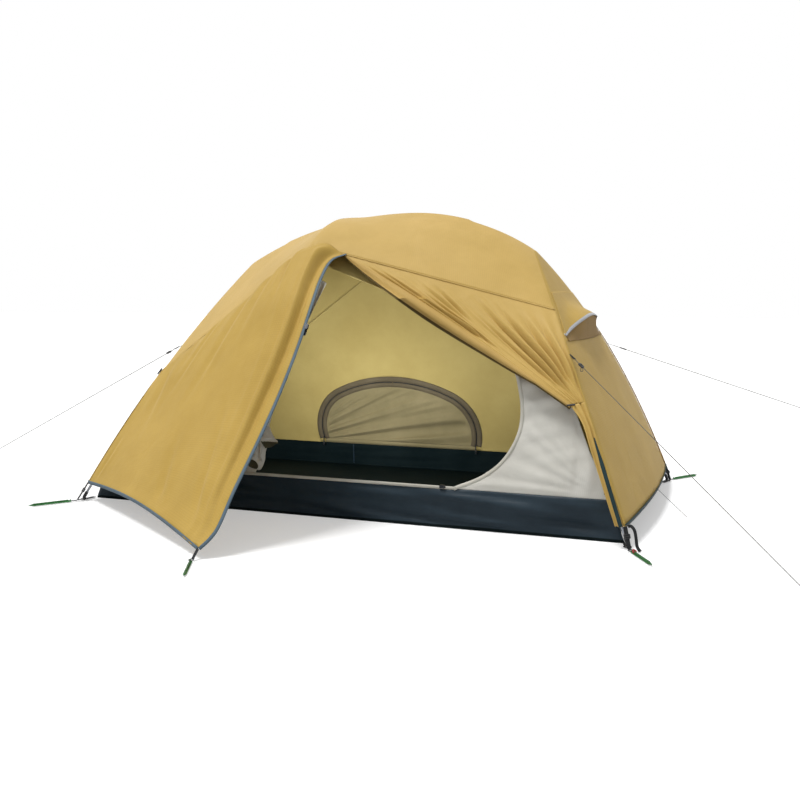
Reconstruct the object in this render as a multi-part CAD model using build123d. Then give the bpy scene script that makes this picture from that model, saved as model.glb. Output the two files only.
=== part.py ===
from build123d import *
import os
from math import acos, asin, atan, cos, degrees, pi, radians, sin, sqrt

os.makedirs("parts", exist_ok=True)

# A tent on hubbed poles. X runs along the bed, Y to the rear, Z up, all in mm.
# The origin is the centre of the floor's underside.

# Floor tub
floor_length = 2100
floor_width = 1100
front_wall_height = 140
rear_wall_height = 100
end_wall_lean = 50
side_wall_lean = 8
fabric = 2.0
tiny = 0.001

# Poles, as shares of the floor's sizes and the ridge's height
pole_radius = 4.5
ridge_height = 1120
ridge_apex_x = 0.0952 * floor_length / 2
head_hub_x = 0.567 * floor_length / 2
head_hub_height = 0.866 * ridge_height
foot_hub_x = -0.571 * floor_length / 2
foot_hub_height = 0.8438 * ridge_height
cross_pole_x = -0.165 * floor_length / 2
cross_pole_reach = 0.63 * floor_width / 2
cross_pole_drop = 0.11 * ridge_height
pole_foot_x = floor_length / 2 + 16
pole_foot_y = floor_width / 2 + 60
pole_foot_height = 14
head_leg_waist = (0.7724 * floor_length / 2, 0.639 * pole_foot_y, 0.5357 * ridge_height)
foot_leg_waist = (-0.735 * floor_length / 2, 0.5246 * pole_foot_y, 0.5304 * ridge_height)
ferrule_length = 70
ferrule_wall = 1.1
ferrule_gap = 0.1
crossing_gap = 0.8
pole_sides = 10
pole_step = 48
hub_sides = 16
post_sides = 12
shank_gap = 0.7

# How far the cloth stands from the pole axis
fly_stand_off = 21
inner_hang = 38
hem_height = 77
core_height = 0.2232 * ridge_height

# Hubs
socket_radius = 8
socket_depth = 38
socket_seat = 9
socket_gap = 0.25
hub_web = 4

# Porches and doors
porch_reach = 662
rear_reach = 410
porch_apex = (-0.1581 * floor_length / 2, -floor_width / 2 - porch_reach, 16)
rear_apex = (-0.165 * floor_length / 2, floor_width / 2 + rear_reach, 30)
zip_bend = (-0.05 * floor_length / 2, -floor_width / 2 - 0.097 * porch_reach, 0.711 * ridge_height)
zip_waist = (-0.0743 * floor_length / 2, -floor_width / 2 - 0.5965 * porch_reach, 0.333 * ridge_height)
zip_foot = (-0.155 * floor_length / 2, -floor_width / 2 - porch_reach, 32)
hem_rise = 34
head_seam_at = 0.30
foot_seam_at = 0.52
tie_at = 0.61
hem_bow = 34

# Window hatch in the rear wall
window_half = 0.369 * floor_length / 2
window_rise = 0.268 * ridge_height
window_corner_radius = 0.18 * ridge_height
window_corner_height = 55
window_centre_x = -0.155 * floor_length / 2
window_base = 20
window_tape = 24

# Small parts
strap_width = 20
strap_thick = 1.6
cord_radius = 1.2
cord_sides = 8
coil_radius = 2.2
tape_width = 9
tape_thick = 1.4
clearance = 0.3
stake_length = 165


def vec(point):
    return Vector(*point)


def save(node, *solids):
    parts = [solid for shape in solids for solid in shape.solids()]
    shape = parts[0] if len(parts) == 1 else Compound(children=parts)
    export_step(shape, f"parts/{node}.step")


# --- cloth built as thin faceted shells ---------------------------------

def inward(point):
    core = Vector(0.45 * point.X, 0.2 * point.Y, core_height)
    return (core - point).normalized()


def lift(point, distance):
    return point - inward(point) * distance


def along(curve, start, end, count):
    return [curve @ (start + (end - start) * i / (count - 1)) for i in range(count)]


def between(first, last, count):
    return [first + (last - first) * (i / (count - 1)) for i in range(count)]


def coons(top, bottom, left, right):
    rows = []
    for j, (near, far) in enumerate(zip(left, right)):
        v = j / (len(left) - 1)
        row = []
        for i, (high, low) in enumerate(zip(top, bottom)):
            u = i / (len(top) - 1)
            ruled_v = high * (1 - v) + low * v
            ruled_u = near * (1 - u) + far * u
            edge_top = top[0] * (1 - u) + top[-1] * u
            edge_bottom = bottom[0] * (1 - u) + bottom[-1] * u
            row.append(ruled_v + ruled_u - edge_top * (1 - v) - edge_bottom * v)
        rows.append(row)
    rows[0] = list(top)
    rows[-1] = list(bottom)
    for row, near, far in zip(rows, left, right):
        row[0] = near
        row[-1] = far
    return rows


def strip(first, second, rows=2):
    shares = [j / (rows - 1) for j in range(rows)]
    return [[a * (1 - s) + b * s for a, b in zip(first, second)] for s in shares]


def side_by_side(left_rows, right_rows):
    return [near + far[1:] for near, far in zip(left_rows, right_rows)]


def add_triangle(faces, a, b, c):
    if min((a - b).length, (b - c).length, (c - a).length) > tiny:
        faces.append(Face(Wire.make_polygon([a, b, c], close=True)))


def add_quad(faces, a, b, c, d):
    add_triangle(faces, a, b, c)
    add_triangle(faces, a, c, d)


def add_rim(faces, points, backs):
    for i in range(len(points) - 1):
        pair = sorted(((points[i], backs[i]), (points[i + 1], backs[i + 1])), key=lambda p: tuple(p[0]))
        (near, near_back), (far, far_back) = pair
        add_quad(faces, near, far, far_back, near_back)


def skin(rows, thickness=fabric):
    backs = [[point + inward(point) * thickness for point in row] for row in rows]
    faces = []
    for j in range(len(rows) - 1):
        for i in range(len(rows[j]) - 1):
            add_quad(faces, rows[j][i], rows[j][i + 1], rows[j + 1][i + 1], rows[j + 1][i])
            add_quad(faces, backs[j][i], backs[j + 1][i], backs[j + 1][i + 1], backs[j][i + 1])
    add_rim(faces, rows[0], backs[0])
    add_rim(faces, rows[-1], backs[-1])
    add_rim(faces, [row[0] for row in rows], [row[0] for row in backs])
    add_rim(faces, [row[-1] for row in rows], [row[-1] for row in backs])
    return Solid(Shell(faces))


# --- pole curves ---------------------------------------------------------

ridge_apex = Vector(ridge_apex_x, 0, ridge_height)
head_hub = Vector(head_hub_x, 0, head_hub_height)
foot_hub = Vector(foot_hub_x, 0, foot_hub_height)
head_ridge = TangentArc(ridge_apex, head_hub, tangent=(1, 0, 0))
foot_ridge = TangentArc(ridge_apex, foot_hub, tangent=(-1, 0, 0))


def leg_curve(hub, waist, side):
    end_x = pole_foot_x if hub.X > 0 else -pole_foot_x
    middle = Vector(waist[0], side * waist[1], waist[2])
    return ThreePointArc(hub, middle, Vector(end_x, side * pole_foot_y, pole_foot_height))


legs = {
    "front_right": leg_curve(head_hub, head_leg_waist, -1),
    "rear_right": leg_curve(head_hub, head_leg_waist, 1),
    "front_left": leg_curve(foot_hub, foot_leg_waist, -1),
    "rear_left": leg_curve(foot_hub, foot_leg_waist, 1),
}

foot_ridge_radius = ((foot_hub_x - ridge_apex_x) ** 2 + (ridge_height - foot_hub_height) ** 2) / (
    2 * (ridge_height - foot_hub_height))
crossing_drop = foot_ridge_radius - sqrt(foot_ridge_radius ** 2 - (cross_pole_x - ridge_apex_x) ** 2)
ridge_at_crossing = Vector(cross_pole_x, 0, ridge_height - crossing_drop)
crossing_share = foot_ridge.param_at_point(ridge_at_crossing)
cross_top = ridge_at_crossing + Vector(0, 0, 2 * pole_radius + crossing_gap)
cross_tips = [cross_top + Vector(0, side * cross_pole_reach, -cross_pole_drop) for side in (-1, 1)]
cross_curve = ThreePointArc(cross_tips[0], cross_top, cross_tips[1])


def height_share(curve, height):
    low, high = 0.0, 1.0
    for _ in range(40):
        middle = (low + high) / 2
        if (curve @ middle).Z > height:
            low = middle
        else:
            high = middle
    return low


# --- poles, hubs and tips ------------------------------------------------

def piece_of(curve, start, end):
    return ThreePointArc(curve @ start, curve @ ((start + end) / 2), curve @ end)


def ring_tube(rings, level=True):
    # a closed solid through rings of points; its sides are split when they aren't level
    faces = [Face(Wire.make_polygon(ring, close=True)) for ring in (rings[0], rings[-1])]
    for near, far in zip(rings, rings[1:]):
        for i in range(len(near)):
            side = [near[i - 1], near[i], far[i], far[i - 1]]
            if level:
                faces.append(Face(Wire.make_polygon(side, close=True)))
            else:
                add_quad(faces, *side)
    return Solid(Shell(faces))


def bent_rod(curve):
    steps = max(2, round(curve.length / pole_step))
    normal = (curve @ 0 - curve @ 0.5).cross(curve @ 1 - curve @ 0.5)
    turns = [2 * pi * k / pole_sides for k in range(pole_sides)]
    rings = []
    for i in range(steps + 1):
        plane = Plane(origin=curve @ (i / steps), x_dir=normal, z_dir=curve % (i / steps))
        rings.append([plane.from_local_coords(Vector(pole_radius * cos(a), pole_radius * sin(a)))
                      for a in turns])
    return ring_tube(rings)


def ferrule(curve, share):
    half = ferrule_length / 2 / curve.length
    return bar(curve @ (share - half), curve @ (share + half), pole_radius + ferrule_wall)


def sections(curve, start, end, cuts=()):
    # lengths of pole between ferrules
    half = (ferrule_length / 2 + ferrule_gap) / curve.length
    begins = [start] + [cut + half for cut in cuts]
    ends = [cut - half for cut in cuts] + [end]
    return [bent_rod(piece_of(curve, a, b)) for a, b in zip(begins, ends)]


def rod(start, end, radius):
    axis = end - start
    return Plane(origin=start, z_dir=axis) * Cylinder(
        radius, axis.length, align=(Align.CENTER, Align.CENTER, Align.MIN))


def bar(start, end, radius, sides=pole_sides, hole=False):
    # a straight many-sided rod; as a hole its flats, not its corners, keep the radius
    axis = end - start
    outline = RegularPolygon(radius, sides, major_radius=not hole)
    return extrude(Plane(origin=start, z_dir=axis) * outline, amount=axis.length)


def post(x, y, low, high, radius, hole=False):
    return bar(Vector(x, y, low), Vector(x, y, high), radius, post_sides, hole)


leg_cuts = (0.2, 0.71)
leg_start = {name: socket_seat / curve.length for name, curve in legs.items()}

for name, curve in legs.items():
    save("leg_pole_" + name, *sections(curve, leg_start[name], 1, leg_cuts))

ridge_starts = [socket_seat / head_ridge.length, socket_seat / foot_ridge.length]
ridge_cut = 0.62
save("ridge_pole",
     *sections(head_ridge, 0, 1 - ridge_starts[0]),
     *sections(foot_ridge, 0, 1 - ridge_starts[1], (ridge_cut,)))
save("cross_pole", *sections(cross_curve, 0, 1))
save("pole_ferrules",
     *[ferrule(curve, cut) for curve in legs.values() for cut in leg_cuts],
     ferrule(foot_ridge, ridge_cut))


def web_between(hub, one, other):
    corner = [hub, hub + one * socket_depth, hub + other * socket_depth]
    plane = Plane(origin=hub, x_dir=one, z_dir=one.cross(other))
    flat = Face(Wire.make_polygon(corner, close=True))
    return extrude(flat, amount=hub_web / 2, dir=plane.z_dir, both=True)


def pole_hub(hub, ridge_end, names):
    directions = [(ridge_end - hub).normalized()]
    directions += [((legs[name] @ (socket_depth / legs[name].length)) - hub).normalized() for name in names]
    rise = Vector(0, 0, socket_radius + 0.5)
    body = bar(hub - rise, hub + rise, socket_radius + 3, hub_sides)
    for direction in directions:
        body += bar(hub, hub + direction * socket_depth, socket_radius, hub_sides)
        collar = hub + direction * (socket_depth - 6)
        body += bar(collar, hub + direction * socket_depth, socket_radius + 1.5, hub_sides)
    for i, direction in enumerate(directions):
        body += web_between(hub, direction, directions[i - 1])
    for direction in directions:
        floor = hub + direction * socket_seat
        body -= rod(floor, hub + direction * (socket_depth + 5), pole_radius + socket_gap)
    return body


near_head = head_ridge @ (1 - socket_depth / head_ridge.length)
near_foot = foot_ridge @ (1 - socket_depth / foot_ridge.length)
save("pole_hub_head", pole_hub(head_hub, near_head, ("front_right", "rear_right")))
save("pole_hub_foot", pole_hub(foot_hub, near_foot, ("front_left", "rear_left")))


def cross_clip():
    width = 26
    middle = (ridge_at_crossing + cross_top) / 2
    body = Pos(*middle) * Box(width, width, 2 * (2 * pole_radius + 3))
    body = chamfer(body.edges().filter_by(Axis.Z), 5)
    along_ridge = foot_ridge % (crossing_share)
    bore = pole_radius + socket_gap
    for centre, heading in ((ridge_at_crossing, along_ridge), (cross_top, Vector(0, 1, 0))):
        body -= bar(centre - heading * width, centre + heading * width, bore, hole=True)
    return body


save("cross_clip", cross_clip())


# --- floor tub and corner tabs -------------------------------------------

half_length = floor_length / 2
half_width = floor_width / 2
tab_height = 6
grommet_bore = 5.5
grommet_radius = 9.5


def tub_frustum(margin, low, high):
    # the walls lean in evenly with height
    levels = []
    for z in (low, high):
        share = z / front_wall_height
        width = floor_length - 2 * (margin + end_wall_lean * share)
        depth = floor_width - 2 * (margin + side_wall_lean * share)
        levels.append(Pos(0, 0, z) * Rectangle(width, depth))
    return loft(levels)


def floor_tub():
    tallest = front_wall_height
    tub = tub_frustum(0, 0, tallest) - tub_frustum(fabric, fabric, tallest + 10)
    above = Plane.YZ * Polygon((-half_width - 1, front_wall_height), (half_width + 1, rear_wall_height),
                               (half_width + 1, tallest + 10), (-half_width - 1, tallest + 10), align=None)
    return tub - extrude(above, amount=half_length + 10, both=True)


save("floor_tub", floor_tub())

corners = {"front_right": (1, -1), "rear_right": (1, 1), "front_left": (-1, -1), "rear_left": (-1, 1)}


def corner_frame(sign_x, sign_y):
    start = Vector(sign_x * half_length, sign_y * half_width, 0)
    foot = Vector(sign_x * pole_foot_x, sign_y * pole_foot_y, 0)
    return start, foot, (foot - start).normalized()


stake_reach = 48
eye_radius = 9


def stake_eye(sign_x, sign_y):
    foot = corner_frame(sign_x, sign_y)[1]
    return foot + Vector(sign_x * 0.35, sign_y, 0).normalized() * stake_reach


def flat_strap(start, end, width, z, thick):
    run = end - start
    plane = Plane(origin=Vector(start.X, start.Y, z), x_dir=Vector(run.X, run.Y, 0), z_dir=(0, 0, 1))
    return plane * Box(run.length, width, thick, align=(Align.MIN, Align.CENTER, Align.MIN))


def corner_tab(sign_x, sign_y):
    start, foot, outward = corner_frame(sign_x, sign_y)
    begin = start + outward * 12
    strap = flat_strap(begin, foot, strap_width, tab_height - strap_thick, strap_thick)
    pad = post(foot.X, foot.Y, tab_height - strap_thick, tab_height, grommet_radius + 5)
    eye = stake_eye(sign_x, sign_y)
    tail = flat_strap(foot, eye, strap_width / 2, tab_height - strap_thick, strap_thick)
    loop = post(eye.X, eye.Y, tab_height - strap_thick, tab_height, eye_radius)
    body = strap + pad + tail + loop
    body -= post(foot.X, foot.Y, 0, 40, grommet_bore + 0.5)
    body -= post(eye.X, eye.Y, 0, 40, eye_radius - 3)
    return body


def grommet(sign_x, sign_y):
    _, foot, _ = corner_frame(sign_x, sign_y)
    low = tab_height - strap_thick - 1
    flange = post(foot.X, foot.Y, tab_height, tab_height + 1, grommet_radius)
    under = post(foot.X, foot.Y, low, low + 1, grommet_radius)
    barrel = post(foot.X, foot.Y, low, tab_height + 1, grommet_bore + 0.5)
    return flange + under + barrel - post(foot.X, foot.Y, 0, 40, grommet_bore - 0.4)


def pole_tip(name, sign_x, sign_y):
    _, foot, _ = corner_frame(sign_x, sign_y)
    curve = legs[name]
    end = curve @ 1
    top = curve @ (1 - 22 / curve.length)
    pin = post(foot.X, foot.Y, 0.4, end.Z, 3)
    seat = tab_height + 1 + clearance
    shoulder = post(foot.X, foot.Y, seat, seat + 3.5, 7.5)
    sleeve = bar(end - (top - end).normalized() * 3, top, pole_radius + 2)
    bore = bar(end, top + (top - end), pole_radius + socket_gap, hole=True)
    return pin + shoulder + sleeve - bore


save("corner_tabs", *[corner_tab(*signs) for signs in corners.values()])
save("corner_grommets", *[grommet(*signs) for signs in corners.values()])


def cross_cap(tip, side):
    inner = cross_curve @ (0.03 if side < 0 else 0.97)
    outward = (tip - inner).normalized()
    cap = bar(tip - outward * 14, tip + outward * 6, pole_radius + 1.6)
    return cap - bar(tip - outward * 20, tip + outward * 0.3, pole_radius + socket_gap + 0.1, hole=True)


save("pole_tips", *[pole_tip(name, *signs) for name, signs in corners.items()],
     cross_cap(cross_tips[0], -1), cross_cap(cross_tips[1], 1))


# --- inner tent -----------------------------------------------------------

def sink(point):
    return lift(point, -inner_hang)


def wall_top(sign_x, sign_y):
    height = front_wall_height if sign_y < 0 else rear_wall_height
    share = height / front_wall_height
    return Vector(sign_x * (half_length - end_wall_lean * share),
                  sign_y * (half_width - side_wall_lean * share), height + clearance)


inner_seam_at = {"front_right": 0.44, "rear_right": 0.44, "front_left": 0.5, "rear_left": 0.5}
inner_eave = {side: sink(cross_tips[0 if side < 0 else 1]) + Vector(0, 0, -6) for side in (-1, 1)}
ridge_left = [sink(p) for p in along(foot_ridge, 1, crossing_share, 5)]
ridge_right = [ridge_left[-1]] + [sink(p) for p in along(head_ridge, 0, 1, 6)]


def inner_leg(name, start, end, count):
    points = [sink(p) for p in along(legs[name], start, end, count)]
    if end == 1:
        points[-1] = wall_top(*corners[name])
    return points


def inner_roof(side):
    row = "front" if side < 0 else "rear"
    left, right = row + "_left", row + "_right"
    left_leg = inner_leg(left, 0, inner_seam_at[left], 4)
    right_leg = inner_leg(right, 0, inner_seam_at[right], 4)
    rib = [sink(p) for p in along(cross_curve, 0.5, 0.02 if side < 0 else 0.98, 4)]
    rib[-1] = inner_eave[side]
    rib[0] = ridge_left[-1]
    left_half = coons(ridge_left, between(left_leg[-1], rib[-1], 5), left_leg, rib)
    right_half = coons(ridge_right, between(rib[-1], right_leg[-1], 7), rib, right_leg)
    return skin(side_by_side(left_half, right_half))


save("inner_roof_front", inner_roof(-1))
save("inner_roof_rear", inner_roof(1))


def inner_side_edge(name, count):
    upper = inner_leg(name, 0, inner_seam_at[name], 4)
    return upper + inner_leg(name, inner_seam_at[name], 1, count)[1:]


def inner_end(sign_x):
    names = ("front_right", "rear_right") if sign_x > 0 else ("front_left", "rear_left")
    front = inner_side_edge(names[0], 5)
    rear = inner_side_edge(names[1], 5)
    base = between(wall_top(sign_x, -1), wall_top(sign_x, 1), 5)
    return skin(coons([front[0]] * 5, base, front, rear))


save("inner_end_head", inner_end(1))
save("inner_end_foot", inner_end(-1))


def front_plane_point(x, z):
    low = wall_top(1, -1)
    high = inner_eave[-1]
    share = (z - low.Z) / (high.Z - low.Z)
    return Vector(x, low.Y + (high.Y - low.Y) * share, z)


# The doorway is a D: its zip leaves the wall top, climbs the head side and arches to the eave.
door_sweep = [(0.433, 0), (0.53, 0.058), (0.602, 0.142), (0.645, 0.27),
              (0.637, 0.42), (0.585, 0.565), (0.41, 0.7), (0.165, 0.825)]
door_left_x = -0.314 * floor_length / 2
sill_level = front_wall_height + clearance
door_rise = inner_eave[-1].Z - sill_level
door_curve = [front_plane_point(x * floor_length / 2, sill_level + share * door_rise)
              for x, share in door_sweep] + [inner_eave[-1]]


def inner_front_right():
    name = "front_right"
    seam_end = inner_leg(name, 0, inner_seam_at[name], 4)[-1]
    leg = inner_leg(name, 1, inner_seam_at[name], 5)
    leg[0] = wall_top(1, -1)
    seam = between(seam_end, inner_eave[-1], len(door_curve) - len(leg) + 1)
    return skin(strip(leg + seam[1:], door_curve, 3))


def inner_front_left():
    name = "front_left"
    leg = inner_leg(name, 1, inner_seam_at[name], 5)
    leg[0] = wall_top(-1, -1)
    jamb = between(front_plane_point(door_left_x, front_wall_height + clearance), inner_eave[-1], 5)
    return skin(strip(leg, jamb, 3))


save("inner_front_head", inner_front_right())
save("inner_front_foot", inner_front_left())


# --- rear wall of the inner, with its arched hatch -------------------------

rear_low = Vector(0, wall_top(1, 1).Y, rear_wall_height + clearance)
rear_rise = inner_eave[1] - Vector(inner_eave[1].X, rear_low.Y, rear_low.Z)
rear_plane = Plane(origin=Vector(window_centre_x, rear_low.Y, rear_low.Z), x_dir=(1, 0, 0),
                   z_dir=Vector(1, 0, 0).cross(rear_rise))
rear_height = rear_rise.length
corner_x = window_half - window_corner_radius
corner_y = window_base + window_corner_height
crown = window_rise - window_corner_height - window_corner_radius
crown_depth = (corner_x ** 2 - crown ** 2) / (2 * crown)
crown_radius = window_corner_radius + sqrt(corner_x ** 2 + crown_depth ** 2)
corner_turn = degrees(atan(crown_depth / corner_x))
foot_turn = degrees(asin(window_corner_height / window_corner_radius))
panel_left = -0.81 * floor_length / 2 - window_centre_x
panel_right = 0.571 * floor_length / 2 - window_centre_x
eave_offset = inner_eave[1].X - window_centre_x
track_gap = 0.6
seam_gap = 2.0
track_half = window_tape + coil_radius


def arch_face(grow):
    # the hatch's outline moved out by grow: two round corners and a flatter crown, cut level by the sill
    radius = window_corner_radius + grow
    low = -asin(window_corner_height / radius)

    def at(side, angle):
        return (side * (corner_x + radius * cos(angle)), corner_y + radius * sin(angle))

    high = radians(corner_turn)
    crown_top = (0, corner_y - crown_depth + crown_radius + grow)
    edges = [Line(at(-1, low), at(1, low)),
             ThreePointArc(at(1, low), at(1, (low + high) / 2), at(1, high)),
             ThreePointArc(at(1, high), crown_top, at(-1, high)),
             ThreePointArc(at(-1, high), at(-1, (low + high) / 2), at(-1, low))]
    return make_face(edges)


def rear_panel():
    outline = Polygon((panel_left, 0), (panel_right, 0), (eave_offset, rear_height), align=None)
    cloth = offset(outline, -seam_gap, kind=Kind.INTERSECTION)
    return extrude(rear_plane * (cloth - arch_face(track_half)), amount=fabric)


def on_rear(x, y, z=0):
    return rear_plane.from_local_coords(Vector(x, y, z))


def rear_wing(name, start_x):
    leg = inner_leg(name, 1, inner_seam_at[name], 5)
    leg[0] = wall_top(*corners[name])
    edge = between(on_rear(start_x, 0), on_rear(eave_offset, rear_height), 5)
    return skin(strip(leg, edge, 5))


save("inner_rear_panel", rear_panel())
save("inner_rear_wings", rear_wing("rear_right", panel_right), rear_wing("rear_left", panel_left))


def zip_on_arch():
    outer = arch_face(track_half - track_gap)
    tape = outer - arch_face(coil_radius - 0.5)
    mid = (fabric - tape_thick) / 2
    band = extrude(Pos(0, 0, mid) * tape, amount=tape_thick)
    teeth = arch_face(coil_radius) - arch_face(-coil_radius)
    coil = extrude(Pos(0, 0, fabric / 2 - coil_radius) * teeth, amount=2 * coil_radius)
    return rear_plane * (band + coil)


def window_panel():
    cloth = arch_face(-coil_radius - track_gap)
    return extrude(rear_plane * cloth, amount=fabric)


save("window_zip", zip_on_arch())
save("window_panel", window_panel())


# --- fly ------------------------------------------------------------------

fly_hem_at = {name: height_share(curve, hem_height) for name, curve in legs.items()}
waist_at = {name: height_share(curve, head_leg_waist[2] if name.endswith("right") else foot_leg_waist[2])
            for name, curve in legs.items()}
fly_seam_at = {"front_right": head_seam_at, "rear_right": head_seam_at,
               "front_left": foot_seam_at, "rear_left": foot_seam_at}


def fly_leg(name, start, end, count):
    return [lift(p, fly_stand_off) for p in along(legs[name], start, end, count)]


fly_eave = {side: lift(cross_tips[0 if side < 0 else 1], fly_stand_off) for side in (-1, 1)}
fly_ridge_left = [lift(p, fly_stand_off) for p in
                  along(foot_ridge, 1, crossing_share, 5)]
fly_rib = {side: [lift(p, fly_stand_off) for p in along(cross_curve, 0.5, 0 if side < 0 else 1, 5)]
           for side in (-1, 1)}
fly_ridge_left[-1] = fly_rib[-1][0]
fly_ridge_right = ([fly_ridge_left[-1]]
                   + [lift(p, fly_stand_off) for p in along(foot_ridge, 0.12, 0, 2)]
                   + [lift(p, fly_stand_off) for p in along(head_ridge, 0.2, 1, 5)])


def fly_upper_leg(name):
    waist = waist_at[name]
    if name.endswith("right"):
        return fly_leg(name, 0, fly_seam_at[name], 5)
    return fly_leg(name, 0, waist, 4) + fly_leg(name, fly_seam_at[name], 1, 2)[:1]


def fly_lower_leg(name):
    seam, hem = fly_seam_at[name], fly_hem_at[name]
    if name.endswith("right"):
        waist = fly_leg(name, waist_at[name], 1, 2)[:1]
        return fly_leg(name, seam, 1, 2)[:1] + waist + fly_leg(name, tie_at, hem, 5)
    return fly_leg(name, seam, hem, 7)


def fly_side_edge(name):
    return fly_upper_leg(name) + fly_lower_leg(name)[1:]


def seam_line(side, name, count):
    return between(fly_eave[side], fly_leg(name, fly_seam_at[name], 1, 2)[0], count)


def fly_roof(side):
    row = "front" if side < 0 else "rear"
    left, right = row + "_left", row + "_right"
    left_leg = fly_upper_leg(left)
    right_leg = fly_upper_leg(right)
    left_seam = seam_line(side, left, 5)[::-1]
    right_seam = seam_line(side, right, 8)
    left_half = coons(fly_ridge_left, left_seam, left_leg, fly_rib[side])
    right_half = coons(fly_ridge_right, right_seam, fly_rib[side], right_leg)
    return skin(side_by_side(left_half, right_half))


save("fly_roof_front", fly_roof(-1))
save("fly_roof_rear", fly_roof(1))


def hem_of_end(sign_x):
    names = ("front_right", "rear_right") if sign_x > 0 else ("front_left", "rear_left")
    front = fly_side_edge(names[0])
    rear = fly_side_edge(names[1])
    middle = (front[-1] + rear[-1]) / 2 + Vector(sign_x * hem_bow, 0, 10)
    hem = between(front[-1], middle, 4) + between(middle, rear[-1], 4)[1:]
    return front, rear, hem


def fly_end(sign_x):
    front, rear, hem = hem_of_end(sign_x)
    return skin(coons([front[0]] * 7, hem, front, rear))


save("fly_end_head", fly_end(1))
save("fly_end_foot", fly_end(-1))

# The left door hangs from the seam to the porch stake, and its zip edge bends near the top.
zip_top = seam_line(-1, "front_right", 8)[1]
zip_curve = ThreePointArc(vec(zip_bend), vec(zip_waist), vec(zip_foot))
zip_rows = 7


def door_left():
    name = "front_left"
    leg = fly_lower_leg(name)
    edge = [zip_top] + along(zip_curve, 0, 1, zip_rows - 1)
    top = seam_line(-1, name, 5)[::-1] + [zip_top]
    bottom = between(leg[-1], edge[-1], len(top))
    arched = [p + Vector(0, 0, hem_rise * sin(pi * i / (len(top) - 1))) for i, p in enumerate(bottom)]
    return coons(top, arched, leg, edge)


save("fly_door_foot", skin(door_left()))

# The right door is rolled up to its toggle on the front leg; below it hangs in folds.
tie_point = fly_leg("front_right", tie_at, 1, 2)[0] + Vector(-46, -22, -10)


def door_right_upper():
    name = "front_right"
    leg = fly_lower_leg(name)[:3]
    seam = seam_line(-1, name, 8)
    top = [zip_top] + seam[1:]
    edge = between(zip_top, tie_point, 3)
    bottom = between(tie_point, leg[-1], 8)
    return skin(coons(top, bottom, edge, leg))


def door_right_lower():
    name = "front_right"
    leg = fly_lower_leg(name)[2:]
    edge = [tie_point] + [p + Vector(-30, -16, 0) for p in leg[1:]]
    return skin(strip(edge, leg, 3))


save("fly_door_head", door_right_upper())
save("fly_door_folds", door_right_lower())


def fly_rear(name):
    sign_x = 1 if name.endswith("right") else -1
    leg = fly_lower_leg(name)
    top = seam_line(1, name, 8 if sign_x > 0 else 5)
    ridge = between(fly_eave[1], vec(rear_apex), len(leg))
    bottom = between(vec(rear_apex), leg[-1], len(top))
    return skin(coons(top, bottom, ridge, leg))


save("fly_rear_panels", fly_rear("rear_right"), fly_rear("rear_left"))


# --- zip of the left porch door -------------------------------------------

zip_mid = zip_curve @ 0.5
zip_radius = zip_curve.radius
zip_centre = zip_curve.arc_center
zip_normal = (zip_curve @ 0 - zip_centre).cross(zip_curve @ 1 - zip_centre).normalized()
slider_length = 22
slider_width = 13
slider_height = 8
bail_hole = slider_height / 2 + 1
pull_thick = 1.4
pull_length = 34


def zip_plane():
    return Plane(origin=zip_centre, x_dir=zip_curve @ 0 - zip_centre, z_dir=zip_normal)


zip_span = degrees(acos(((zip_curve @ 0 - zip_centre).normalized()).dot(
    (zip_curve @ 1 - zip_centre).normalized())))
door_side = 1 if (fly_leg("front_left", 0.7, 1, 2)[0] - zip_mid).dot(zip_mid - zip_centre) > 0 else -1
coil_track = zip_radius - door_side * (tape_width + coil_radius + clearance)


def door_zip():
    start, end = 0.6, zip_span - 0.3
    middle = (start + end) / 2
    wedge = Polygon((0, 0), *[(2 * zip_radius * cos(radians(a)), 2 * zip_radius * sin(radians(a)))
                              for a in (start, middle, end)], align=None)
    inner = min(coil_track, zip_radius - door_side * clearance)
    outer = max(coil_track, zip_radius - door_side * clearance)
    tape = (Circle(outer) - Circle(inner)) & wedge
    band = extrude(Pos(0, 0, -tape_thick / 2) * tape, amount=tape_thick)
    teeth = (Circle(coil_track + coil_radius) - Circle(coil_track - coil_radius)) & wedge
    coil = extrude(Pos(0, 0, -coil_radius) * teeth, amount=2 * coil_radius)
    return zip_plane() * (band + coil)


def zip_slider(track_side):
    # body round the coil, open on the side where the tape runs
    body = Box(slider_width, slider_length, slider_height)
    body = chamfer(body.edges().filter_by(Axis.Z), 3)
    body -= Box(2 * (coil_radius + clearance), slider_length + 2, 2 * (coil_radius + clearance))
    body -= Pos(track_side * slider_width / 2, 0, 0) * Box(
        slider_width, slider_length + 2, tape_thick + 2 * clearance)
    return body + Pos(0, 0, slider_height / 2) * bail()


def bail():
    return Pos(0, 0, 1.5) * (Box(3, 12, 3) - Pos(0, 0, -0.5) * Box(4, 7, 2.2))


def saddle_slider():
    # a slider seen from outside: a cap over the coil with a cheek on each side of it
    low = fabric / 2 + clearance
    cap = Box(slider_width, slider_length, slider_height - low,
              align=(Align.CENTER, Align.CENTER, Align.MIN))
    cap = chamfer(cap.edges().filter_by(Axis.Z), 3)
    groove = Box(2 * (coil_radius + 2 * clearance), slider_length + 2, 2 * (coil_radius + clearance - low))
    return Pos(0, 0, low) * (cap - groove) + Pos(0, 0, slider_height) * bail()


def zip_pull():
    # a tag whose end bar lies under the slider's bail and turns there
    half_bar = pull_thick / 2
    tag = Pos(0, -half_bar, 0) * Box(
        8, pull_length, pull_thick, align=(Align.CENTER, Align.MIN, Align.CENTER))
    tag = chamfer(tag.edges().filter_by(Axis.Z), 0.6)
    return tag - Pos(0, half_bar, 0) * Box(4, 8, 4, align=(Align.CENTER, Align.MIN, Align.CENTER))


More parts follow.
